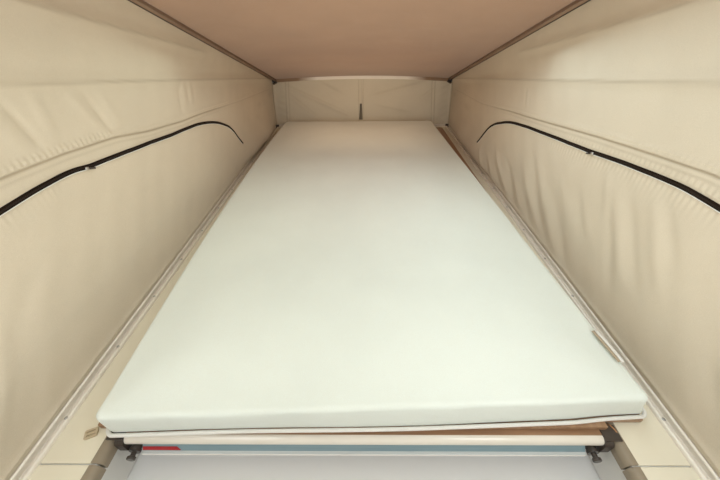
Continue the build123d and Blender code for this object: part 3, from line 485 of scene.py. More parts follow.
# %% Zip and hem lines
behind = [(-1.70, 0.235), (-1.50, 0.235), (-1.42, 0.26), (-1.38, 0.34), (-1.34, 0.42), (-1.28, 0.495),
          (-1.19, 0.55)]
zip_tables = {
    1: behind + [(-1.045, 0.569), (-0.863, 0.576), (-0.781, 0.578), (-0.690, 0.570), (-0.589, 0.558),
                 (-0.487, 0.543), (-0.386, 0.531), (-0.284, 0.520), (-0.183, 0.507), (-0.081, 0.495),
                 (0.020, 0.479), (0.071, 0.469), (0.122, 0.455), (0.173, 0.437), (0.223, 0.419),
                 (0.274, 0.394), (0.325, 0.357), (0.350, 0.330), (0.368, 0.305), (0.384, 0.276),
                 (0.398, 0.250), (0.46, 0.235), (1.20, 0.228)],
    -1: behind + [(-1.045, 0.572), (-0.883, 0.584), (-0.792, 0.588), (-0.731, 0.587), (-0.690, 0.584),
                  (-0.649, 0.575), (-0.589, 0.569), (-0.487, 0.557), (-0.386, 0.546), (-0.284, 0.532),
                  (-0.183, 0.523), (-0.081, 0.511), (-0.030, 0.502), (0.020, 0.491), (0.071, 0.477),
                  (0.122, 0.460), (0.173, 0.438), (0.223, 0.413), (0.254, 0.390), (0.284, 0.362),
                  (0.315, 0.327), (0.345, 0.288), (0.366, 0.263), (0.447, 0.230), (1.20, 0.228)]}
hem_tables = {
    1: [(-1.70, 0.600), (-1.20, 0.625), (-0.812, 0.621), (-0.690, 0.609), (-0.487, 0.586), (-0.284, 0.558),
        (-0.081, 0.531), (0.122, 0.507), (0.223, 0.492), (0.477, 0.457), (1.20, 0.415)],
    -1: [(-1.70, 0.610), (-1.20, 0.640), (-0.842, 0.633), (-0.690, 0.624), (-0.528, 0.607), (-0.386, 0.579),
         (-0.183, 0.552), (0.020, 0.534), (0.223, 0.511), (0.477, 0.483), (1.20, 0.420)]}
zip_ends = {1: (-1.405, 0.394), -1: (-1.405, 0.354)}
line_y = np.arange(-1.70, 1.2001, 0.004)
window = np.hanning(17) / np.hanning(17).sum()

def smooth_line(table):
    return np.convolve(np.pad(np.interp(line_y, *zip(*table)), 8, mode="edge"), window, mode="valid")

zip_line = {side: smooth_line(table) for side, table in zip_tables.items()}
hem_line = {side: smooth_line(table) for side, table in hem_tables.items()}
zip_slope = {side: np.gradient(line, line_y) for side, line in zip_line.items()}

def zip_at(side, y):
    return np.interp(y, line_y, zip_line[side])

def steepness(side, y):
    return np.sqrt(1 + np.interp(y, line_y, zip_slope[side]) ** 2)

def smooth(low, high, value):
    t = np.clip((value - low) / (high - low), 0, 1)
    return t * t * (3 - 2 * t)

def between(value, a, b, c, d):
    """Rises from 0 to 1 between a and b, and falls back to 0 between c and d."""
    return smooth(a, b, value) * (1 - smooth(c, d, value))

def by_zip(side, y):
    """1 along the zip, 0 past its ends."""
    near, far = zip_ends[side]
    return between(y, near - 0.03, near + 0.02, far - 0.02, far + 0.03)

print("zip heights at -0.5:", [round(float(zip_at(side, -0.5)), 3) for side in (1, -1)])

# %% [markdown]
# ## Folds and puckers
# Stretched canvas is never flat. Long creases stay from folding, a sewn hem stands above the zip, the
# zip's own seam puckers the cloth beside it, and below it the slack hangs in leaning folds. A cloth
# simulation would not give these folds back where they are, so each is drawn from its head to its foot.

# %% The folds of each wall
# each crease: its two ends (y, z), how far it stands out and how much painted shade lies along it
crease_lines = [((1.163, 0.479), (-1.56, 0.898), 0.0040, 1.0), ((0.15, 0.738), (-1.52, 1.091), 0.0036, 0.9),
                ((1.14, 0.395), (0.42, 0.372), 0.0014, 0.4)]
crease_lift = {1: 0.0, -1: 0.008}
soft_folds = {  # (y, z) from head to foot, half-width, how far it stands out (less than 0: a valley)
    1: [([(-0.729, 0.543), (-0.783, 0.465), (-0.838, 0.393), (-0.893, 0.332)], 0.016, 0.0032),
        ([(-0.756, 0.543), (-0.807, 0.488), (-0.878, 0.410)], 0.012, -0.0025),
        ([(-0.647, 0.531), (-0.737, 0.418), (-0.815, 0.324), (-0.863, 0.281)], 0.016, -0.0030),
        ([(-0.616, 0.507), (-0.682, 0.425), (-0.753, 0.332), (-0.802, 0.269)], 0.018, 0.0032),
        ([(-0.619, 0.461), (-0.671, 0.395), (-0.729, 0.309), (-0.781, 0.230)], 0.015, -0.0028),
        ([(-0.573, 0.525), (-0.627, 0.433), (-0.649, 0.393)], 0.014, 0.0022),
        ([(-0.475, 0.449), (-0.558, 0.355), (-0.627, 0.300), (-0.682, 0.222), (-0.737, 0.159)], 0.022, -0.0032),
        ([(-0.510, 0.441), (-0.604, 0.324), (-0.667, 0.246), (-0.751, 0.159)], 0.022, 0.0026),
        ([(-0.396, 0.423), (-0.479, 0.347), (-0.558, 0.285)], 0.020, 0.0020),
        ([(-0.370, 0.383), (-0.432, 0.317), (-0.495, 0.261), (-0.558, 0.200), (-0.619, 0.152)], 0.022, -0.0032),
        ([(-0.221, 0.433), (-0.292, 0.363), (-0.377, 0.291), (-0.457, 0.215), (-0.526, 0.159)], 0.025, 0.0046),
        ([(-0.167, 0.441), (-0.245, 0.355), (-0.292, 0.293), (-0.355, 0.238), (-0.446, 0.169)], 0.022, -0.0044),
        ([(-0.136, 0.379), (-0.213, 0.293), (-0.307, 0.230), (-0.386, 0.167)], 0.020, 0.0032),
        ([(-0.203, 0.261), (-0.269, 0.199), (-0.325, 0.159)], 0.018, -0.0028),
        ([(-0.071, 0.285), (-0.152, 0.230), (-0.229, 0.167)], 0.022, 0.0032),
        ([(0.044, 0.324), (-0.026, 0.285), (-0.089, 0.230), (-0.152, 0.167)], 0.022, -0.0042),
        ([(0.161, 0.324), (0.075, 0.269), (-0.003, 0.222), (-0.089, 0.159)], 0.020, 0.0048),
        ([(0.130, 0.261), (0.052, 0.199), (0.000, 0.159)], 0.018, -0.0032),
        ([(0.183, 0.246), (0.122, 0.190), (0.075, 0.152)], 0.015, 0.0024),
        ([(0.223, 0.241), (0.177, 0.190), (0.137, 0.152)], 0.015, -0.0024),
        ([(0.333, 0.261), (0.270, 0.199), (0.215, 0.152)], 0.020, 0.0042),
        ([(-0.015, 0.611), (-0.035, 0.573)], 0.012, 0.0022),
        ([(0.010, 0.616), (-0.010, 0.575)], 0.010, -0.0016)],
    -1: [([(-0.756, 0.758), (-0.741, 0.697), (-0.730, 0.647)], 0.010, -0.0045),
         ([(-0.690, 0.768), (-0.692, 0.707), (-0.698, 0.644)], 0.018, 0.0034),
         ([(-0.792, 0.758), (-0.779, 0.707), (-0.766, 0.652)], 0.020, 0.0036),
         ([(-0.563, 0.733), (-0.541, 0.677), (-0.525, 0.620)], 0.010, -0.0045),
         ([(-0.604, 0.743), (-0.580, 0.682), (-0.555, 0.626)], 0.016, 0.0038),
         ([(-0.518, 0.738), (-0.502, 0.677), (-0.492, 0.618)], 0.018, 0.0030),
         ([(-0.132, 0.662), (-0.154, 0.581)], 0.011, -0.0022),
         ([(-0.096, 0.672), (-0.120, 0.591)], 0.014, 0.0032),
         ([(-0.069, 0.662), (-0.086, 0.596)], 0.009, -0.0020),
         ([(-0.047, 0.662), (-0.066, 0.596)], 0.012, 0.0026),
         ([(-0.020, 0.652), (-0.038, 0.596)], 0.010, -0.0020),
         ([(-0.868, 0.459), (-0.934, 0.413), (-1.025, 0.357)], 0.020, -0.0042),
         ([(-0.832, 0.464), (-0.898, 0.423), (-0.984, 0.372)], 0.020, 0.0034),
         ([(-0.040, 0.246), (-0.091, 0.195)], 0.040, 0.0040),
         ([(-0.315, 0.301), (-0.406, 0.220)], 0.014, 0.0014),
         ([(-0.233, 0.301), (-0.325, 0.220)], 0.014, -0.0014),
         ([(-0.152, 0.291), (-0.243, 0.215)], 0.014, 0.0014),
         ([(0.254, 0.251), (0.173, 0.180)], 0.020, 0.0018)]}
foot_slack = {1: [(-0.1, 0), (0.0, 0.005), (0.2, 0.022), (0.45, 0.031), (0.72, 0.033), (0.95, 0.022),
                  (1.12, 0.006)],
              -1: [(-0.1, 0), (0.2, 0.004), (0.35, 0.016), (0.55, 0.036), (0.72, 0.048), (0.95, 0.034),
                   (1.12, 0.008)]}

# %% Relief of the side walls
head_lean = 0.013  # the strip under the roof clamps the canvas this far inside its own outer edge
pucker_pitch = 0.0146  # from one pucker to the next beside a sewn seam
fold_gain = {1: 1.35, -1: 0.8}

def from_line(y, z, a, b):
    """Distance above a line, and 1 between its ends."""
    run, rise = b[0] - a[0], b[1] - a[1]
    size = math.hypot(run, rise)
    along = ((y - a[0]) * run + (z - a[1]) * rise) / size
    above = ((z - a[1]) * run - (y - a[0]) * rise) / size * (1 if run > 0 else -1)
    return above, between(along, -0.03, 0.10, size - 0.1, size + 0.03)

def bell(distance, width):
    return np.exp(-((distance / width) ** 2))

def pleats(place, seed):
    """Uneven waves with sharper tops than valleys."""
    wave = np.sin(2 * np.pi * place / 0.118 + 0.9 * np.sin(7.3 * place + seed))
    wave += 0.55 * np.sin(2 * np.pi * place / 0.067 + 1.3 * np.sin(11.0 * place + 2 * seed))
    return wave / 1.5

def soft_fold(y, z, line, width, deep):
    ys, zs = np.array(line[::-1]).T
    lean = (ys[-1] - ys[0]) / (zs[-1] - zs[0])
    off = (y - np.interp(z, zs, ys) - lean * (z - np.clip(z, zs[0], zs[-1]))) / math.hypot(1, lean)
    rest = 0.35 * (zs[-1] - zs[0])
    return deep * bell(off, width) * between(z, zs[0] - 0.02, zs[0] + rest, zs[-1] - rest, zs[-1] + 0.015)

def wall_relief(side, y, z):
    """(how far the cloth stands into the room in metres, how much painted shade it has)"""
    share, near_zip = wall_share(y, z), by_zip(side, y)
    above = (z - zip_at(side, y)) / steepness(side, y)
    from_hem = z - np.interp(y, line_y, hem_line[side])
    relief = 0.004 * np.sin(np.pi * np.clip(share, 0, 1)) * (1 + 0.5 * np.sin(2.1 * y + side))
    tone = np.zeros_like(relief)

    # the creases left from folding, with painted shade along each
    for a, b, deep, dark in crease_lines:
        off, along = from_line(y, z - crease_lift[side], a, b)
        relief += 1.5 * deep * np.clip(1 - np.abs(off) / 0.03, 0, 1) ** 1.6 * along
        tone += dark * along * (0.42 * bell(off + 0.002, 0.004) + 0.06 * bell(off + 0.012, 0.016))

    # the hem, with a groove at its foot; painted shade along the groove and in a faint line below it, and a
    # little less on the hem's band
    hem_on = smooth(-1.60, -1.45, y) * (1 - 0.7 * smooth(0.0, 0.35, y)) * (1 - smooth(0.95, 1.12, y))
    slack_hem = 1 - smooth(-0.56, -0.52, y) if side < 0 else 0.15 + 0 * y
    tick = np.sin(2 * np.pi * y / pucker_pitch + 1.2 * np.sin(9 * y))
    tick = tick * (0.70 + 0.30 * np.sin(31 * y + side) * np.sin(13 * y))
    band = between(from_hem, 0.002, 0.0045, 0.015, 0.022) * hem_on
    relief += band * (0.0019 + (0.0004 + 0.0013 * slack_hem) * tick) - 0.0014 * bell(from_hem, 0.0026) * hem_on
    relief += 0.0010 * bell(from_hem + 0.010, 0.005) * hem_on
    tone += hem_on * (0.80 * bell(from_hem, 0.0028) + 0.20 * bell(from_hem + 0.013, 0.0035))
    tone += -0.08 * band * slack_hem

    # the cloth that the zip's seam pulls
    below = np.clip(-above - 0.005, 0, None)
    pulled = near_zip * (1 - smooth(-0.80, -0.70, y) if side < 0 else 1 - 0.85 * smooth(-0.25, 0.0, y))
    relief += pulled * 0.0023 * tick * np.exp(-below / 0.015) * smooth(0, 0.003, below)
    relief += pulled * (0.0011 if side > 0 else 0.0004) * tick * bell(above - 0.017, 0.008)
    ripples = near_zip * between(y, -0.02, 0.02, 0.14, 0.18) * np.sin(2 * np.pi * y / 0.017)
    relief += 0.0007 * ripples * bell(above - 0.028, 0.010)

    # the measured folds, and pleats beside the camera, where it does not look
    for line, width, deep in soft_folds[side]:
        relief += soft_fold(y, z, line, width, fold_gain[side] * deep)
    hidden = between(y, -1.66, -1.4, -1.10, -0.98) * smooth(0.012, 0.10, below) * smooth(0.0, 0.16, share)
    relief += hidden * 0.0040 * pleats(y - 0.9 * (z - 0.35), 1.7 * side)
    if side < 0:
        for level, slope in ((0.487, -0.05), (0.322, -0.02)):
            off = z - level - slope * (y + 0.5)
            wave = 0.0016 * bell(off + 0.020, 0.022) - 0.0012 * bell(off, 0.010)
            relief += between(y, -1.3, -1.0, -0.15, 0.2) * wave

    # the slack over the rail, a little unevenness, and edges that lie flat
    up = z - foot_z
    relief += 0.0034 * bell(up - 0.013, 0.0065)
    slack = np.interp(y, *zip(*foot_slack[side])) * between(up, 0.0, 0.030, 0.045, 0.20)
    relief += slack * (1 + 0.12 * np.sin(19 * y + side))
    relief += 0.0006 * np.sin(23 * y + 31 * z + side) * np.sin(17 * z - 9 * y) + 0.0004 * np.sin(57 * y - 40 * z)
    relief *= smooth(0.0, 0.010, up) * (1 - smooth(0.975, 1.0, share))
    relief += head_lean * smooth(0.80, 1.0, share)
    relief *= smooth(0, 0.03, y - foot_near - 0.19 * np.clip(share, 0, 1)) * (1 - smooth(1.11, 1.15, y))
    return relief, np.clip(tone, -0.1, 1)

def on_wall(side, y, z, out_by=0.0):
    """Points on a side wall's inner face."""
    y, z = np.array(y, float), np.array(z, float)
    relief, _ = wall_relief(side, y, z)
    x = foot_x + (head_x - foot_x) * wall_share(y, z) - relief - out_by
    return np.stack([side * x, y, z], -1)

print("folds drawn", {side: len(folds) for side, folds in soft_folds.items()})

# %% [markdown]
# ## The side walls' mesh
# Rows of points follow the zip's line and the hem's, close together where the puckers are, and columns
# are closest where the photograph looks. That puts detail where it shows and keeps each wall light.

# %% Side walls
# rows of points beside the zip's line and the hem's, in metres above them
zip_band = np.array([-0.062, -0.048, -0.038, -0.030, -0.0235, -0.018, -0.0135, -0.010, -0.0075, -0.005, -0.002,
                     0.002, 0.005, 0.009, 0.013])
hem_band = np.array([-0.009, -0.0055, -0.003, -0.001, 0.001, 0.003, 0.005, 0.009, 0.013, 0.017, 0.0215, 0.028,
                     0.040])
dense = np.concatenate([np.arange(-1.70, -1.0, 0.009), np.arange(-1.0, 0.42, 0.0033),
                        np.arange(0.42, 1.2, 0.011)])
columns = (dense - dense[0]) / (dense[-1] - dense[0])
column_rise = rise_near + (rise_far - rise_near) * columns

def share_of_line(line):
    """The share of the wall's height at which each column of points meets a line."""
    guide = np.full_like(columns, 0.35)
    for _ in range(40):
        y = wall_yz(columns, guide)[0]
        guide = 0.5 * guide + 0.5 * (np.interp(y, line_y, line) - foot_z) / column_rise
    return guide

def row_shares(side):
    """Shares of the wall's height, one row of them for each row of points."""
    on_zip, on_hem = share_of_line(zip_line[side]), share_of_line(hem_line[side])
    squeeze = np.minimum(steepness(side, wall_yz(columns, on_zip)[0]), 2.0)
    room_below = np.minimum(squeeze, (on_zip * column_rise - 0.030) / -zip_band[0])
    room_above = np.minimum(1, (0.97 - on_hem) * column_rise / hem_band[-1])
    zip_steps, hem_steps = zip_band[:, None], hem_band[:, None]
    by_the_zip = on_zip[None] + zip_steps * np.where(zip_steps < 0, room_below, squeeze) / column_rise
    by_the_hem = on_hem[None] + hem_steps * np.where(hem_steps > 0, room_above, 1) / column_rise
    gap = by_the_zip[-1] + (by_the_hem[0] - by_the_zip[-1]) * np.linspace(0, 1, 8)[1:-1, None]
    low, high = by_the_zip[0], by_the_hem[-1]
    foot = np.array([0, 0.004, 0.008, 0.0115, 0.015, 0.0185, 0.023])[:, None] / column_rise
    below = foot[-1] + (low - foot[-1]) * np.linspace(0, 1, 28)[1:-1, None]
    over = high + (1 - high) * np.linspace(0, 1, 54)[1:, None]
    return np.concatenate([foot, below, by_the_zip, gap, by_the_hem, over])

def side_wall(side, name):
    shares = row_shares(side)
    y, z = wall_yz(np.broadcast_to(columns, shares.shape), shares)
    relief, tone = wall_relief(side, y, z)
    x = foot_x + (head_x - foot_x) * shares - relief
    points = np.stack([side * x, y, z], -1).reshape(-1, 3)
    faces = grid_faces(*shares.shape)
    faces = faces if side < 0 else faces[:, ::-1]
    wall = piece("wall_" + name, points, faces, wall_cloth, "frame", "canvas", tone)
    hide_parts("canvas_" + name)
    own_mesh(wall)
    print(wall.name, len(wall.data.polygons), "faces, rows in order:", bool((np.diff(shares, axis=0) > 0).all()))
    return wall

side_wall(1, "right")
side_wall(-1, "left")

# %% [markdown]
# ## Zips
# A zip is two woven tapes, a coil of teeth between them, a row of stitches along each tape, a bright cord
# along one edge, and a slider with a pull tab. The tapes are swept, the teeth and stitches are stamped.

# %% Zips of the side walls
tall_keep, low_keep = 0.13, 0.48  # heights under the shut roof, as shares of the open ones

def flatten_with_walls(made_piece):
    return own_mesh(made_piece)

def sewn(make, name, *what, keep=tall_keep, slot="canvas"):
    """A piece from one of the makers that sits on the canvas."""
    return flatten_with_walls(make(name, *what, "frame", slot))

half_tape = 0.0054
tape_section = [(-half_tape, -0.0012), (-half_tape, 0.0008), (-0.0026, 0.0013), (-0.0020, 0.0024),
                (0.0020, 0.0024), (0.0026, 0.0013), (half_tape, 0.0008), (half_tape, -0.0012), (0.0, -0.0018)]

def make_zip(name, line, inward, cord_side):
    """Tape, teeth, stitches and cord along a line of points."""
    line = np.array(line)
    sewn(sweep, "zip_tape_" + name, line, inward, tape_section, zip_weave)
    teeth = places_on(even_steps(line, 0.0026), inward, 0, 0.0027)
    sewn(stamp, "zip_teeth_" + name, bead(0.0015, 0.0042, 0.0015), teeth, zip_teeth)
    steps, beside = even_steps(line, 0.0042), half_tape + 0.0038
    rows = [p for sideways in (-beside, beside) for p in places_on(steps, inward, sideways, 0.0010)]
    sewn(stamp, "zip_stitches_" + name, stitch_pattern(0.0031), rows, thread)
    edge = line + path_frames(line, inward, False)[2] * cord_side * (half_tape + 0.0010)
    sewn(sweep, "zip_cord_" + name, edge, inward, round_section(0.0013, 6), piping_cloth)

def slider(name, at, inward, hang):
    """Body that straddles the teeth, and a pull tab that lies on the tape."""
    at, inward, hang = Vector(at), Vector(inward), Vector(hang).normalized()
    turn = Matrix((hang.cross(inward), hang, inward)).transposed().to_4x4()
    body, tab = bead(0.0075, 0.010, 0.0032, 0.4), bead(0.0046, 0.019, 0.0012, 0.4)
    astride = [Matrix.Translation(at + inward * 0.0040) @ turn]
    sewn(stamp, "slider_body_" + name, body, astride, steel, slot="plated_steel")
    lie = [Matrix.Translation(at + inward * 0.0050 + hang * 0.014) @ turn]
    sewn(stamp, "slider_tab_" + name, tab, lie, dark_plastic, slot="bracket_plastic")

for side, name, slider_y in ((1, "right", -0.495), (-1, "left", -0.664)):
    inward = (-side, 0, 0)
    run = line_y[(line_y > zip_ends[side][0]) & (line_y < zip_ends[side][1])]
    line = on_wall(side, run, zip_at(side, run), 0.0006)
    make_zip(name, line, inward, -side)
    print("zip", name, round(float(np.linalg.norm(np.diff(line, axis=0), axis=1).sum()), 2), "m")
    slider(name, on_wall(side, slider_y, zip_at(side, slider_y) - 0.003, 0.001), inward, (0, 1, -0.36))
    seam_y = np.arange(-1.45, 0.30, 0.006)
    for row, above in ((1, 0.0055), (2, 0.0140)):
        line = on_wall(side, seam_y, np.interp(seam_y, line_y, hem_line[side]) + above, 0.0002)
        rows = places_on(even_steps(line, 0.0045), inward)
        sewn(stamp, f"hem_stitches_{row}_{name}", stitch_pattern(0.0032), rows, thread)

# %% [markdown]
# ## The end walls
# The low end is a short wall that closes the tent over the bed's far end, and the high end is the tall wall
# behind the camera. Both are one sheet that turns the corner in a soft quarter round and laps onto the
# side wall, where it is sewn. Seams, a raised centre band and slack folds are terms of a relief again.

# %% Helper for an end wall
crown, crown_half = 0.0191, 0.641  # the roof's crown falls by this much at this distance from its middle

def end_columns(at_edge, in_middle):
    """Shares of the half width, from -1 to 1, closer together where the wall turns its corners."""
    return np.concatenate([np.linspace(-1, -0.9, at_edge, endpoint=False), np.linspace(-0.9, 0.9, in_middle),
                           np.linspace(0.9, 1, at_edge + 1)[1:]])

def end_wall(name, node, y_foot, y_head, facing, relief, columns_at, rows_at,
             edges=(0.3, 0.3)):
    """facing is +1 when the wall's inner face looks towards -y; edges are how much painted shade lies along the
    two sewn corners.
    """
    top_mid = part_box(node)[1].z
    corner, lap = 0.019, 0.008
    s, v = np.meshgrid(np.array(columns_at, float), np.array(rows_at, float))
    span = foot_x - 0.0015 + (head_x - foot_x) * v
    turn = corner * math.pi / 2
    a = span * (1 - np.abs(s)) - (turn / 2 + lap) * smooth(0.9, 1.0, np.abs(s))
    x = np.where(a > turn / 2, span - corner - (a - turn / 2), span)
    back = np.where(a > turn / 2, 0.0, corner + (-a - turn / 2))
    on_turn = np.abs(a) <= turn / 2
    angle = (turn / 2 + a) / corner
    x = np.where(on_turn, span - corner + corner * np.cos(angle), x)
    back = np.where(on_turn, corner - corner * np.sin(angle), back)
    bow = crown * np.clip(np.abs(x) / crown_half, 0, 1.06) ** 2
    z = foot_z + (top_mid - bow - foot_z) * v
    y = y_foot + (y_head - y_foot) * v - facing * back - 0.3 * bow * v
    stand, tone = relief(np.sign(s) * x, z, v)
    stand = stand * smooth(0, 0.05, a - turn / 2) * smooth(0, 0.04, v) * (1 - smooth(0.96, 1, v))
    # painted shade along the corners where the end wall laps onto the side walls
    tone = tone + np.where(s < 0, edges[0], edges[1]) * bell(a + turn * 0.3, 0.0045)
    points = np.stack([np.sign(s) * x, y - facing * stand, z], -1).reshape(-1, 3)
    faces = grid_faces(*s.shape)
    wall = piece(name, points, faces if facing > 0 else faces[:, ::-1], end_cloth, "frame", "canvas", tone)
    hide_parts(node)
    flatten_with_walls(wall)
    print(name, len(wall.data.polygons), "faces, top", round(float(z.max()), 3))
    return wall

# %% [markdown]
# ## The low end wall
# The photograph looks straight at it: two seams stand near the corners, a doubled band runs down the
# middle and ends in a dark webbing tab, and the cloth between hangs in two faint diagonals.

# %% Low end wall
low_seams = ((-0.600, -0.565), (0.571, 0.538))  # x at the foot and at the head
low_slack = (((-0.60, 0.44), (-0.08, 0.21), 0.0075, 0.015), ((-0.58, 0.385), (-0.35, 0.19), 0.004, 0.018),
             ((0.06, 0.35), (0.50, 0.455), 0.005, 0.016), ((0.56, 0.41), (0.44, 0.33), 0.004, 0.014),
             ((-0.34, 0.46), (-0.14, 0.36), 0.003, 0.018), ((0.10, 0.28), (0.40, 0.22), 0.003, 0.018))
band_x, low_y_foot, low_y_head = -0.007, 1.1605, 1.1635

def low_relief(x, z, v):
    relief = 0.003 * np.sin(np.pi * v) + 0 * x
    tone = np.zeros_like(relief)
    for foot_at, head_at in low_seams:
        off = x - (foot_at + (head_at - foot_at) * v)
        relief += 0.0022 * between(off, -0.011, -0.008, 0.008, 0.011) - 0.0016 * bell(np.abs(off) - 0.012, 0.003)
        # painted shade along both edges of each raised seam
        tone += 0.35 * bell(np.abs(off) - 0.0115, 0.0028)
    wing = smooth(0.57, 0.62, np.abs(x))
    # painted shade on the strips that turn into the far corners
    tone += 0.12 * wing
    relief += 0.0022 * wing * np.sin(2 * np.pi * (z - 0.25 * np.abs(x)) / 0.052)
    middle = x - band_x
    relief += 0.0024 * between(middle, -0.019, -0.016, 0.016, 0.019)
    # painted shade along both edges of the raised middle band
    tone += 0.25 * bell(np.abs(middle) - 0.019, 0.0025)
    for start, end, deep, wide in low_slack:
        off, along = from_line(x, z, start, end)
        relief += deep * bell(off, wide) * along
        # painted shade along one side of each slack fold
        tone += 0.16 * bell(off - 0.8 * wide, wide * 0.6) * along
    relief += 0.0008 * np.sin(31 * x + 17 * z) * np.sin(23 * z - 12 * x)
    return relief, tone

end_wall("wall_low_end", "canvas_low_end", low_y_foot, low_y_head, 1, low_relief,
         end_columns(14, 331), np.linspace(0, 1, 72), edges=(0.95, 0.55))

# %% Webbing tab and stitches of the low end wall
low_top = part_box("canvas_low_end")[1].z

def low_point(x, z, out_by):
    share = (z - foot_z) / (low_top - foot_z)
    stand = float(low_relief(np.array([x]), np.array([z]), np.array([share]))[0][0])
    return (x, low_y_foot + (low_y_head - low_y_foot) * share - stand - out_by, z)

def tab_half(share):
    return 0.0065 + 0.0065 * share

def tab_z(share):
    return 0.305 - 0.120 * share

tab_shares = np.linspace(0, 1, 15)
tab_points = []
for share in tab_shares:
    half = tab_half(share)
    for sideways, out_by in ((-half, 0.0006), (-half, 0.0024), (half, 0.0024), (half, 0.0006)):
        tab_points.append(low_point(band_x + sideways, tab_z(share), out_by))
tab_faces = [(4 * i + j, 4 * i + (j + 1) % 4, 4 * i + 4 + (j + 1) % 4, 4 * i + 4 + j)
             for i in range(14) for j in range(4)]
tab_faces += [(3, 2, 1, 0), (56, 57, 58, 59)]
sewn(piece, "webbing_tab", tab_points, tab_faces, strap_grey, keep=low_keep)
tab_edge = [low_point(band_x - tab_half(share), tab_z(share), 0.0022) for share in tab_shares]
sewn(sweep, "webbing_tab_cord", tab_edge, (0, -1, 0), round_section(0.0024, 8), dark_plastic, keep=low_keep)
rows = []
for x in (band_x - 0.0135, band_x + 0.0135):
    line = [low_point(x, z, 0.0004) for z in np.linspace(0.17, 0.462, 40)]
    rows += places_on(even_steps(line, 0.005), (0, -1, 0))
for foot_at, head_at in low_seams:
    line = [low_point(foot_at + (head_at - foot_at) * (z - 0.148) / 0.31, z, 0.0004)
            for z in np.linspace(0.16, 0.45, 40)]
    rows += places_on(even_steps(line, 0.005), (0, -1, 0))
sewn(stamp, "low_wall_stitches", stitch_pattern(0.0033), rows, thread, keep=low_keep)
print("low wall stitches", len(rows))

# %% [markdown]
# ## The high end wall
# The photograph was taken beside this wall and does not show it, so it follows the usual pattern of such a
# tent: a panel that zips open in a tall arch, with the same zip, hem and fold creases as the side walls.

# %% High end wall
arch_half, arch_radius, arch_shoulder = 0.28, 0.15, 0.92
side_run, corner_run, top_run = 0.62, 0.2356, 0.56  # lengths of a side, of a round corner and of the top
past_corner = side_run + corner_run
past_top = past_corner + top_run
arch = []
for run in np.linspace(0, 1, 241) * 2.27:
    if run < side_run:
        arch.append((-arch_half - arch_radius, 0.30 + run))
    elif run < past_corner:
        turn = (run - side_run) / arch_radius
        arch.append((-arch_half - arch_radius * math.cos(turn), arch_shoulder + arch_radius * math.sin(turn)))
    elif run < past_top:
        arch.append((-arch_half + run - past_corner, arch_shoulder + arch_radius))
    elif run < past_top + corner_run:
        turn = (run - past_top) / arch_radius
        arch.append((arch_half + arch_radius * math.sin(turn), arch_shoulder + arch_radius * math.cos(turn)))
    else:
        arch.append((arch_half + arch_radius, arch_shoulder - (run - past_top - corner_run)))

def arch_distance(x, z):
    """Distance outside the arch, less than 0 inside it."""
    dx, dz = np.abs(x) - arch_half, z - arch_shoulder
    return np.where(dz > 0, np.hypot(np.maximum(dx, 0), dz) - arch_radius, dx - arch_radius)

high_creases = (((-0.68, 0.55), (0.68, 0.56), 0.004), ((-0.67, 0.91), (0.67, 0.90), 0.004),
                ((-0.68, 0.36), (0.68, 0.35), 0.003))
high_y_foot, high_y_head = -1.699, -1.492

def high_relief(x, z, v):
    relief = 0.006 * np.sin(np.pi * v) + 0 * x
    tone = np.zeros_like(relief)
    out = arch_distance(x, z)
    inside = smooth(0.3, 0.33, z)
    hem = between(out, 0.024, 0.027, 0.040, 0.044) * inside
    tick = np.sin(2 * np.pi * (x + z) / 0.0142)
    relief += hem * (0.0022 + 0.0005 * tick)
    # painted shade along the groove at the hem's foot, and a little less on the hem's band
    tone += 0.35 * bell(out - 0.0235, 0.0025) * inside - 0.08 * hem
    slack = smooth(0.01, 0.08, -out) * inside
    relief += slack * 0.0045 * pleats(x * (1 + 0.35 * (z - 0.3)) + 0.15 * (z - 0.7) * np.sign(x), 2.2)
    for start, end, deep in high_creases:
        off = from_line(x, z, start, end)[0]
        relief += deep * np.clip(1 - np.abs(off) / 0.03, 0, 1) ** 1.6
        # painted shade along each crease
        tone += 0.22 * bell(off + 0.002, 0.004)
    relief += 0.0008 * np.sin(23 * x + 19 * z) * np.sin(29 * z - 12 * x)
    return relief, tone

end_wall("wall_high_end", "canvas_high_end", high_y_foot, high_y_head, -1, high_relief,
         end_columns(12, 251), np.linspace(0, 1, 190))
high_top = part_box("canvas_high_end")[1].z

def high_point(x, z, out_by):
    bow = crown * (x / crown_half) ** 2
    share = (z - foot_z) / (high_top - bow - foot_z)
    stand = float(high_relief(np.array([x]), np.array([z]), np.array([share]))[0][0])
    return (x, high_y_foot + (high_y_head - high_y_foot - 0.3 * bow) * share + stand + out_by, z)

make_zip("high_end", [high_point(x, z, 0.001) for x, z in arch], (0, 1, 0), 1)
slider("high_end", high_point(arch_half + arch_radius, 0.36, 0.002), (0, 1, 0), (0, 0.2, -1))

# %% [markdown]
# ## The mattress
# A slab of firm foam in a knitted cover: narrower at the foot, its left side bent out, its edges crisp and
# only the top a little crowned. The outline is drawn once, and its top and underside are filled with
# quads, which a cloth simulation with pressure then swells by a few millimetres, its underside pinned.

# %% Mattress outline
bed_low, bed_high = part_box("mattress")
tall = bed_high.z - bed_low.z
pad_corners = [(-0.562, -1.106), (0.624, -1.064), (0.528, 1.000), (-0.584, 1.000)]
pad_radii = [0.020, 0.020, 0.048, 0.048]
pad_bow = 0.030

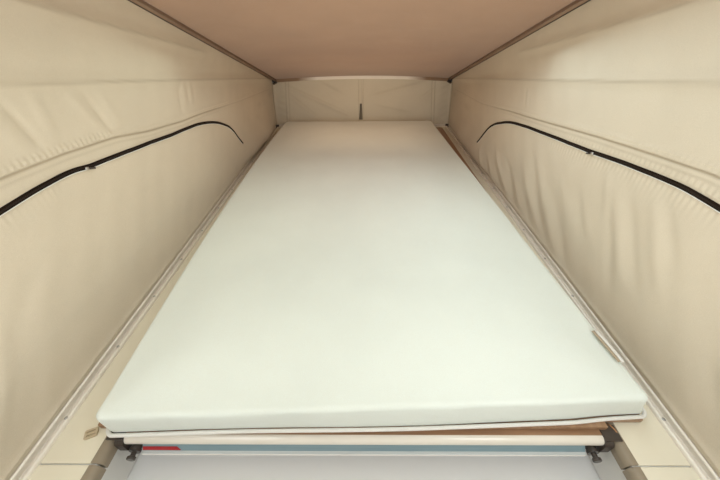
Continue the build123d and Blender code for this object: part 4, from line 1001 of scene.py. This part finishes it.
def side_points(k, count):
    """Side k of the outline with the nearer halves of its round corners, and its outward normals."""
    a, b = np.array(pad_corners[k]), np.array(pad_corners[(k + 1) % 4])
    along = (b - a) / np.linalg.norm(b - a)
    out = np.array([along[1], -along[0]])
    before = a - np.array(pad_corners[k - 1])
    after = np.array(pad_corners[(k + 2) % 4]) - b
    points, normals = [], []
    def arc(corner, radius, first, second, turns):
        first, second = first / np.linalg.norm(first), second / np.linalg.norm(second)
        half = math.acos(float(np.clip(first @ second, -1, 1))) / 2
        middle = corner - first * radius * math.tan(half) + np.array([-first[1], first[0]]) * radius
        start = math.atan2(-first[0], first[1])
        for t in turns:
            angle = start + 2 * half * t
            n = np.array([math.cos(angle), math.sin(angle)])
            points.append(middle + radius * n)
            normals.append(n)
    arc(a, pad_radii[k], before, along, np.linspace(0.5, 1, 5))
    ends = [points[-1]]
    arc(b, pad_radii[(k + 1) % 4], along, after, [0.0])
    ends.append(points.pop())
    normals.pop()
    for t in np.linspace(0, 1, count + 2)[1:-1]:
        points.append(ends[0] + (ends[1] - ends[0]) * t)
        normals.append(out)
    arc(b, pad_radii[(k + 1) % 4], along, after, np.linspace(0, 0.5, 5))
    points, normals = np.array(points), np.array(normals)
    if k == 3:
        t = (points[:, 1] - b[1]) / (a[1] - b[1])
        points[:, 0] -= pad_bow * 4 * t * (1 - t)
    return points, normals

pad_sides = [side_points(k, 54 if k % 2 == 0 else 96) for k in range(4)]

def pad_edge(k, inset):
    points, normals = pad_sides[k]
    return points - normals * inset

def pad_ring(inset):
    """The whole outline, inset all round, as one closed line."""
    return np.concatenate([pad_edge(k, inset)[:-1] for k in range(4)])

def pad_fill(inset):
    """A grid of points inside the outline, rows from the near edge to the far one."""
    near, right, far, left = [pad_edge(k, inset) for k in range(4)]
    far, left = far[::-1], left[::-1]
    def share(line):
        run = np.concatenate([[0], np.cumsum(np.linalg.norm(np.diff(line, axis=0), axis=1))])
        return run / run[-1]
    u = ((share(near) + share(far)) / 2)[None, :, None]
    v = ((share(left) + share(right)) / 2)[:, None, None]
    across = (1 - v) * near[None] + v * far[None]
    along = (1 - u) * left[:, None] + u * right[:, None]
    corners = (1 - u) * (1 - v) * near[0] + u * (1 - v) * near[-1] + (1 - u) * v * far[0] + u * v * far[-1]
    return across + along - corners

ring = pad_ring(0)
print("outline", len(ring), "points", [round(float(v), 3) for v in (*ring.min(0), *ring.max(0))])

# %% Mattress mesh
pad_top = tall - 0.0035
pad_profile = [  # (inset from the outline, height)
    (0.0155, pad_top), (0.0100, pad_top - 0.0008), (0.0062, pad_top - 0.0034), (0.0038, pad_top - 0.0075),
    (0.0030, pad_top - 0.0140), (0.0030, pad_top - 0.029), (0.0030, 0.033), (0.0030, 0.019),
    (0.0034, 0.0100), (0.0052, 0.0045), (0.0090, 0.0015), (0.0150, 0.0006)]
pad_points, top_grid = [], pad_fill(pad_profile[0][0])
rows, cols = top_grid.shape[:2]
rim = ([(0, c) for c in range(cols - 1)] + [(r, cols - 1) for r in range(rows - 1)]
       + [(rows - 1, c) for c in range(cols - 1, 0, -1)] + [(r, 0) for r in range(rows - 1, 0, -1)])
for grid, up in ((top_grid, pad_top), (pad_fill(pad_profile[-1][0]), pad_profile[-1][1])):
    flat = grid.reshape(-1, 2)
    pad_points.append(np.column_stack([flat, np.full(len(flat), bed_low.z + up)]))
size = rows * cols
rings = [[r * cols + c for r, c in rim]]
start = 2 * size
for inset, up in pad_profile[1:-1]:
    ring = pad_ring(inset)
    pad_points.append(np.column_stack([ring, np.full(len(ring), bed_low.z + up)]))
    rings.append(list(range(start, start + len(ring))))
    start += len(ring)
rings.append([size + r * cols + c for r, c in rim])
pad_faces = [tuple(f) for f in grid_faces(rows, cols)]
pad_faces += [tuple(int(i) + size for i in reversed(f)) for f in grid_faces(rows, cols)]
for high, low in zip(rings, rings[1:]):
    count = len(high)
    pad_faces += [(high[k], low[k], low[(k + 1) % count], high[(k + 1) % count]) for k in range(count)]
mattress = piece("mattress_pad", np.concatenate(pad_points), pad_faces, ticking, "bed", "mattress_cloth")
print("mattress mesh", len(mattress.data.vertices), "points")

# %% Mattress filling
most_swell = 0.0045

def coordinates(mesh):
    flat = np.empty(len(mesh.vertices) * 3)
    mesh.vertices.foreach_get("co", flat)
    return flat.reshape(-1, 3)

start_at = coordinates(mattress.data)
bpy.context.view_layer.objects.active = mattress
pinned = mattress.vertex_groups.new(name="pinned")
pinned.add([int(i) for i in np.nonzero(start_at[:, 2] < bed_low.z + 0.003)[0]], 1.0, "REPLACE")
puff = mattress.modifiers.new("puff", "CLOTH")
puff.settings.quality, puff.settings.mass = 6, 0.5
puff.settings.tension_stiffness = puff.settings.compression_stiffness = 30
puff.settings.bending_stiffness = 6
puff.settings.use_pressure, puff.settings.uniform_pressure_force = True, 3.0
puff.settings.effector_weights.gravity = 0
puff.settings.vertex_group_mass = "pinned"
for step in range(1, 21):
    bpy.context.scene.frame_set(step)
settled = coordinates(mattress.evaluated_get(bpy.context.evaluated_depsgraph_get()).data)
mattress.modifiers.remove(puff)
mattress.vertex_groups.clear()
bpy.context.scene.frame_set(1)
moved = settled - start_at
far = np.linalg.norm(moved, axis=1, keepdims=True)
settled = start_at + moved * np.minimum(1, most_swell / np.maximum(far, 1e-9))
print("mattress swelled by up to", round(float(far.max()), 4), "m, kept to", most_swell)
mattress.data.vertices.foreach_set("co", settled.ravel())
smoother = mattress.modifiers.new("smoother", "SUBSURF")
smoother.levels = smoother.render_levels = 1
bpy.ops.object.modifier_apply(modifier=smoother.name)

# %% Mattress edge, slack and colour
def foot_flare(x, y, up):
    """How far the cover's foot stands out at the near right corner, to the right and to the near side."""
    low = np.clip(1 - up / 0.75, 0, 1) ** 1.3
    to_right = 0.024 * low * smooth(0.52, 0.61, x) * (1 - smooth(-1.06, -0.93, y))
    to_near = 0.009 * low * between(x, -0.35, 0.15, 0.45, 0.60) * (1 - smooth(-1.08, -1.02, y))
    return to_right, to_near

at = coordinates(mattress.data)
x, y, z = at.T.copy()
up = (z - bed_low.z) / tall
ease = np.clip(up, 0, 1) * (1 - np.clip(up, 0, 1)) * 4
to_near, to_right = bell(y + 1.085, 0.06), bell(x - 0.60, 0.06)
flare_x, flare_y = foot_flare(x, y, up)
at[:, 0] += flare_x
at[:, 1] -= flare_y
at[:, 1] += 0.0016 * ease * to_near * np.sin(2 * np.pi * x / 0.31 + 1.0) * np.sin(7 * x + 0.5)
at[:, 0] += 0.0014 * ease * to_right * np.sin(2 * np.pi * y / 0.42)
on_top = smooth(0.80, 0.97, up)
at[:, 2] += on_top * (0.0008 * np.sin(5.1 * x + 2.0 * y) * np.sin(3.3 * y + 1) + 0.0005 * np.sin(13 * x - 6 * y))
at[:, 2] = np.clip(at[:, 2], bed_low.z + 0.0002, bed_high.z + 0.002)
mattress.data.vertices.foreach_set("co", at.ravel())
set_tone(mattress.data, 0.06 * (1 - smooth(0.55, 0.92, up)))
mattress.data.update()
mattress.data.shade_smooth()
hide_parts("mattress")
print("mattress", len(mattress.data.polygons), "faces", [round(float(v), 4) for v in (*at.min(0), *at.max(0))])

# %% [markdown]
# ## Mattress piping and tag
# A bright piping closes the cover along its lower edge, and a folded tape sticks out at the right side.

# %% Mattress piping and tag
ring = pad_ring(0.0025)
flare_x, flare_y = foot_flare(ring[:, 0], ring[:, 1], 0.06)
cord_line = [(x, y, bed_low.z + 0.0048 + 0.0006 * math.sin(9 * x) * math.cos(5 * y))
             for x, y in zip(ring[:, 0] + flare_x, ring[:, 1] - flare_y)]
sweep("mattress_piping", cord_line, (0, 0, 1), round_section(0.0042, 10), piping_cloth, "bed", "mattress_cloth",
      closed=True)
tag_z = bed_high.z + 0.0016
tag_half = [(-0.0036, 0.0), (-0.0036, 0.0014), (0.0036, 0.0014), (0.0036, 0.0)]
for name, shift, made in (("outer", 0.0042, piping_cloth), ("inner", -0.0042, seam_cloth)):
    tag_line = [(0.6015 + shift - 0.010 * t, -0.975 + 0.085 * t, tag_z + 0.0010 * math.sin(math.pi * t))
                for t in np.linspace(0, 1, 12)]
    sweep("mattress_tag_" + name, tag_line, (0, 0, 1), tag_half, made, "bed", "mattress_cloth")

# %% [markdown]
# ## Screws and the beam's strip
# Small parts show how the thing is put together: raised screws with cross slots hold the rails, and a red
# strip marks the beam's groove.

# %% Screws and beam strip
def screw_pattern(radius, high, slot=0.28):
    """A round head with a cross cut into its crown."""
    pattern = bmesh.new()
    rings = [(radius, 0), (radius, 0.35 * high), (0.86 * radius, 0.75 * high), (0.55 * radius, high)]
    sides, last = 24, None
    for r, h in rings:
        new = [pattern.verts.new((px, py, h)) for px, py in round_section(r, sides)]
        if last:
            for k in range(sides):
                pattern.faces.new((last[k], last[(k + 1) % sides], new[(k + 1) % sides], new[k]))
        last = new
    arm, wide = 0.48 * radius, 0.5 * slot * radius
    cross = [(arm, -wide), (arm, wide), (wide, wide), (wide, arm), (-wide, arm), (-wide, wide),
             (-arm, wide), (-arm, -wide), (-wide, -wide), (-wide, -arm), (wide, -arm), (wide, -wide)]
    top = [pattern.verts.new((px, py, high)) for px, py in cross]
    deep = [pattern.verts.new((px * 0.8, py * 0.8, 0.35 * high)) for px, py in cross]
    for k in range(12):
        pattern.faces.new((top[k], top[(k + 1) % 12], deep[(k + 1) % 12], deep[k]))
        near = [last[(2 * k + sides) % sides], last[(2 * k + 1) % sides], last[(2 * k + 2) % sides]]
        pattern.faces.new((near[0], near[1], top[k]))
        pattern.faces.new((near[1], near[2], top[(k + 1) % 12]))
        pattern.faces.new((near[1], top[(k + 1) % 12], top[k]))
    pattern.faces.new(list(reversed(deep)))
    pattern.verts.index_update()
    return pattern

def stand_at(x, y, z, facing=(0, 0, 1), spin=0.0):
    turn = Vector((0, 0, 1)).rotation_difference(Vector(facing)).to_matrix().to_4x4()
    return Matrix.Translation((x, y, z)) @ turn @ Matrix.Rotation(spin, 4, "Z")

rail_top = 0.1390
rail_screws = [stand_at(side * 0.6842, y, rail_top, spin=0.7 * k) for side in (-1, 1)
               for k, y in enumerate(np.arange(-1.62, 1.13, 0.186))]
rail_screws += [stand_at(x, y, rail_top, spin=1.1 * k) for y in (-1.6832, 1.1432)
                for k, x in enumerate(np.arange(-0.6, 0.61, 0.2))]
stamp("rail_screws", screw_pattern(0.0038, 0.0018), rail_screws, steel, "frame", "plated_steel")

groove_top = Vector((0, beam_low.y + 0.018, nose_foot))
groove_foot = Vector((0, beam_low.y + 0.006, lip_head))
groove_out = Vector((0, -0.016, 0.012)).normalized()
red_points = []
for out_by in (0.0002, 0.0012):
    for x, share in ((-0.4985, 0.90), (-0.4120, 0.90), (-0.4210, 0.50), (-0.4985, 0.50)):
        at = groove_top.lerp(groove_foot, share) + groove_out * out_by
        red_points.append((x, at.y, at.z))
red_faces = [(3, 2, 1, 0), (4, 5, 6, 7)] + [(k, (k + 1) % 4, 4 + (k + 1) % 4, 4 + k) for k in range(4)]
strip = piece("beam_red_strip", red_points, red_faces, red_gloss, "bed", "rail_alloy")
strip.data.shade_flat()
print("rail screws", len(rail_screws))

# %% [markdown]
# ## Corner pieces and the bracket's small parts
# Rails meet in moulded corner pieces, which also close the corner under the canvas. At the beam's right
# end a bent plate and a bronze spring hook sit beside the bracket.

# %% Corner pieces and bracket parts
joiner = bead(0.0285, 0.0285, 0.0214, 0.12)
spots = [Matrix.Translation((x, y, 0.1369)) for x in (-0.6912, 0.6912) for y in (1.1502, -1.6902)]
stamp("rail_corner_pieces", joiner, spots, dark_plastic, "frame", "bracket_plastic")
# dark blocks under the roof's far corners are painted shade: they stand where the cloth folds into dark corners
shade_block = bead(0.034, 0.020, 0.014, 0.3)
shade_blocks = [Matrix.Translation((side * 0.652, 1.146, 0.4555)) @ Matrix.Rotation(side * 0.45, 4, "Y")
        for side in (-1, 1)]
stamp("roof_corner_shade_blocks", shade_block, shade_blocks, dark_plastic, "roof", "bracket_plastic")

plate_line = [(0.5235, -1.0722, 0.1330), (0.5240, -1.0722, 0.1338),
              (0.5490, -1.0722, 0.1338), (0.5500, -1.0722, 0.1325)]
plate_section = [(-0.0045, 0.0), (-0.0045, 0.0008), (0.0045, 0.0008), (0.0045, 0.0)]
sweep("bracket_plate", plate_line, (0, 0, 1), plate_section, steel, "bed", "plated_steel")
hook_line = [(0.5535, -1.070, 0.1352), (0.5575, -1.073, 0.1356), (0.5625, -1.082, 0.1350),
             (0.5655, -1.093, 0.1325), (0.5650, -1.102, 0.1270), (0.5610, -1.108, 0.1200),
             (0.5560, -1.1105, 0.1130), (0.5510, -1.111, 0.1080)]
sweep("bracket_hook", hook_line, (1, 0, 0.2), round_section(0.0016, 8), bronze, "bed", "plated_steel")

# %% [markdown]
# ## Light and floor
# The object stands on a plain pale floor in soft even light. The camera is inside the tent, where no
# studio light reaches, so soft panels under the roof light the room: cool ones near the camera and warm ones
# towards the far end, all hidden from the camera. The world is white only where the camera, a mirror or
# glass looks at it, and gives a gentle, slightly blue light elsewhere.

# %% World, lamps and floor
world = bpy.data.worlds.new("studio")
bpy.context.scene.world = world
world.use_nodes = True
world.node_tree.nodes.clear()
rays = add(world, "LightPath")
seen = rays.outputs["Is Camera Ray"]
for kind in ("Is Glossy Ray", "Is Transmission Ray"):
    seen = add(world, "Math", {0: seen, 1: rays.outputs[kind]}, operation="MAXIMUM").outputs[0]
soft_sky = add(world, "Background", {"Color": (0.92, 0.96, 1.0, 1), "Strength": 0.42})
white_back = add(world, "Background", {"Color": (1, 1, 1, 1), "Strength": 1.0})
choose = add(world, "MixShader", {0: seen, 1: soft_sky.outputs[0], 2: white_back.outputs[0]})
add(world, "OutputWorld", {0: choose.outputs[0]})

def lamp(name, at, to, size, watts, colour=(1, 1, 1)):
    light = bpy.data.lights.new(name, "AREA")
    light.shape, light.size, light.size_y = "RECTANGLE", *size
    light.energy, light.color = watts, colour
    holder = bpy.data.objects.new(name, light)
    bpy.context.collection.objects.link(holder)
    holder.location = at
    holder.rotation_euler = (Vector(to) - Vector(at)).to_track_quat("-Z", "Y").to_euler()
    holder.visible_camera = False
    return holder

lamp("soft_left", (-4.5, -3.0, 4.0), (0, 0, 0.4), (3, 3), 95)
lamp("soft_right", (4.5, -2.0, 3.5), (0, 0, 0.4), (3, 3), 65)
lamp("soft_back", (0.5, 5.0, 3.0), (0, 0, 0.4), (3, 2), 60)
room_lamps = [  # name, place, aim, size, watts, colour
    ("room_left", (-0.36, -0.72, 0.97), (-0.30, -1.017, 0.015), (0.32, 1.3), 1.4, (0.80, 1.0, 0.92)),
    ("room_right", (0.36, -0.72, 0.97), (0.30, -1.017, 0.015), (0.32, 1.3), 3.1, (0.74, 0.94, 1.0)),
    ("room_front_left", (-0.48, -1.47, 0.72), (-0.20, 0.2, 0.25), (0.26, 0.45), 2.4, (0.93, 0.97, 1.0)),
    ("room_front_right", (0.48, -1.47, 0.72), (0.20, 0.2, 0.25), (0.26, 0.45), 2.6, (0.93, 0.97, 1.0)),
    ("room_up", (0, -1.38, 0.50), (0, -0.55, 1.25), (1.0, 0.4), 2.4, (1.0, 0.98, 0.88)),
    ("room_low", (0, -1.60, 0.26), (0, -1.10, 0.19), (0.9, 0.15), 0.42, (1.0, 0.97, 0.95)),
    ("room_mid", (0, -0.10, 0.76), (0, -0.397, -0.195), (0.9, 0.6), 1.1, (1.0, 0.90, 0.84)),
    ("room_far", (0, 0.70, 0.52), (0, 0.60, 0.0), (0.9, 0.5), 0.46, (1.0, 0.64, 0.42)),
    ("room_glow", (0, -0.50, 0.30), (0, -0.50, 1.0), (0.9, 1.2), 1.55, (1.0, 0.82, 0.64)),
    ("room_glow_far", (0, 0.50, 0.27), (0, 0.50, 1.0), (1.0, 0.9), 0.60, (1.0, 0.54, 0.27)),
    ("room_end", (0, 0.10, 0.50), (0, 1.15, 0.29), (0.8, 0.12), 0.38, (1.0, 0.84, 0.60))]
for name, place, aim_at, size, watts, colour in room_lamps:
    holder = lamp(name, place, aim_at, size, watts, colour)
    if name == "room_end":
        holder.data.spread = math.radians(75)

floor_finish = finish("pale_floor", (0.80, 0.80, 0.79), 0.7)
bump(floor_finish, (noise(floor_finish, 30.0), 0.0004))
floor = bpy.data.meshes.new("pale_floor")
floor.from_pydata([(-9, -9, -0.002), (9, -9, -0.002), (9, 9, -0.002), (-9, 9, -0.002)], [], [(0, 1, 2, 3)])
floor.materials.append(floor_finish)
floor_piece = bpy.data.objects.new("pale_floor", floor)
bpy.context.collection.objects.link(floor_piece)
floor_piece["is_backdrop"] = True

# %% [markdown]
# ## Camera
# The photographer stood in the van with the camera above the bed's near end, tilted down by 37 degrees,
# with a very wide lens. Its place was worked out from the edges of the ledges, the rails and the roof.

# %% Camera
camera_data = bpy.data.cameras.new("photo_camera")
camera_data.sensor_width, camera_data.lens, camera_data.clip_start = 36.0, 15.055, 0.01
camera = bpy.data.objects.new("photo_camera", camera_data)
bpy.context.collection.objects.link(camera)
turned, tilted, rolled = [Matrix.Rotation(math.radians(angle), 4, axis)
                          for angle, axis in ((0.6, "Z"), (52.73, "X"), (-0.51, "Z"))]
aim = turned @ tilted @ rolled
camera.matrix_world = Matrix.Translation((0.0012, -1.3629, 0.8822)) @ aim
bpy.context.scene.camera = camera
print("camera at", [round(v, 3) for v in camera.location])

# %% Sizes
low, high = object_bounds()
print("visual box", [round(v, 4) for v in low], [round(v, 4) for v in high])
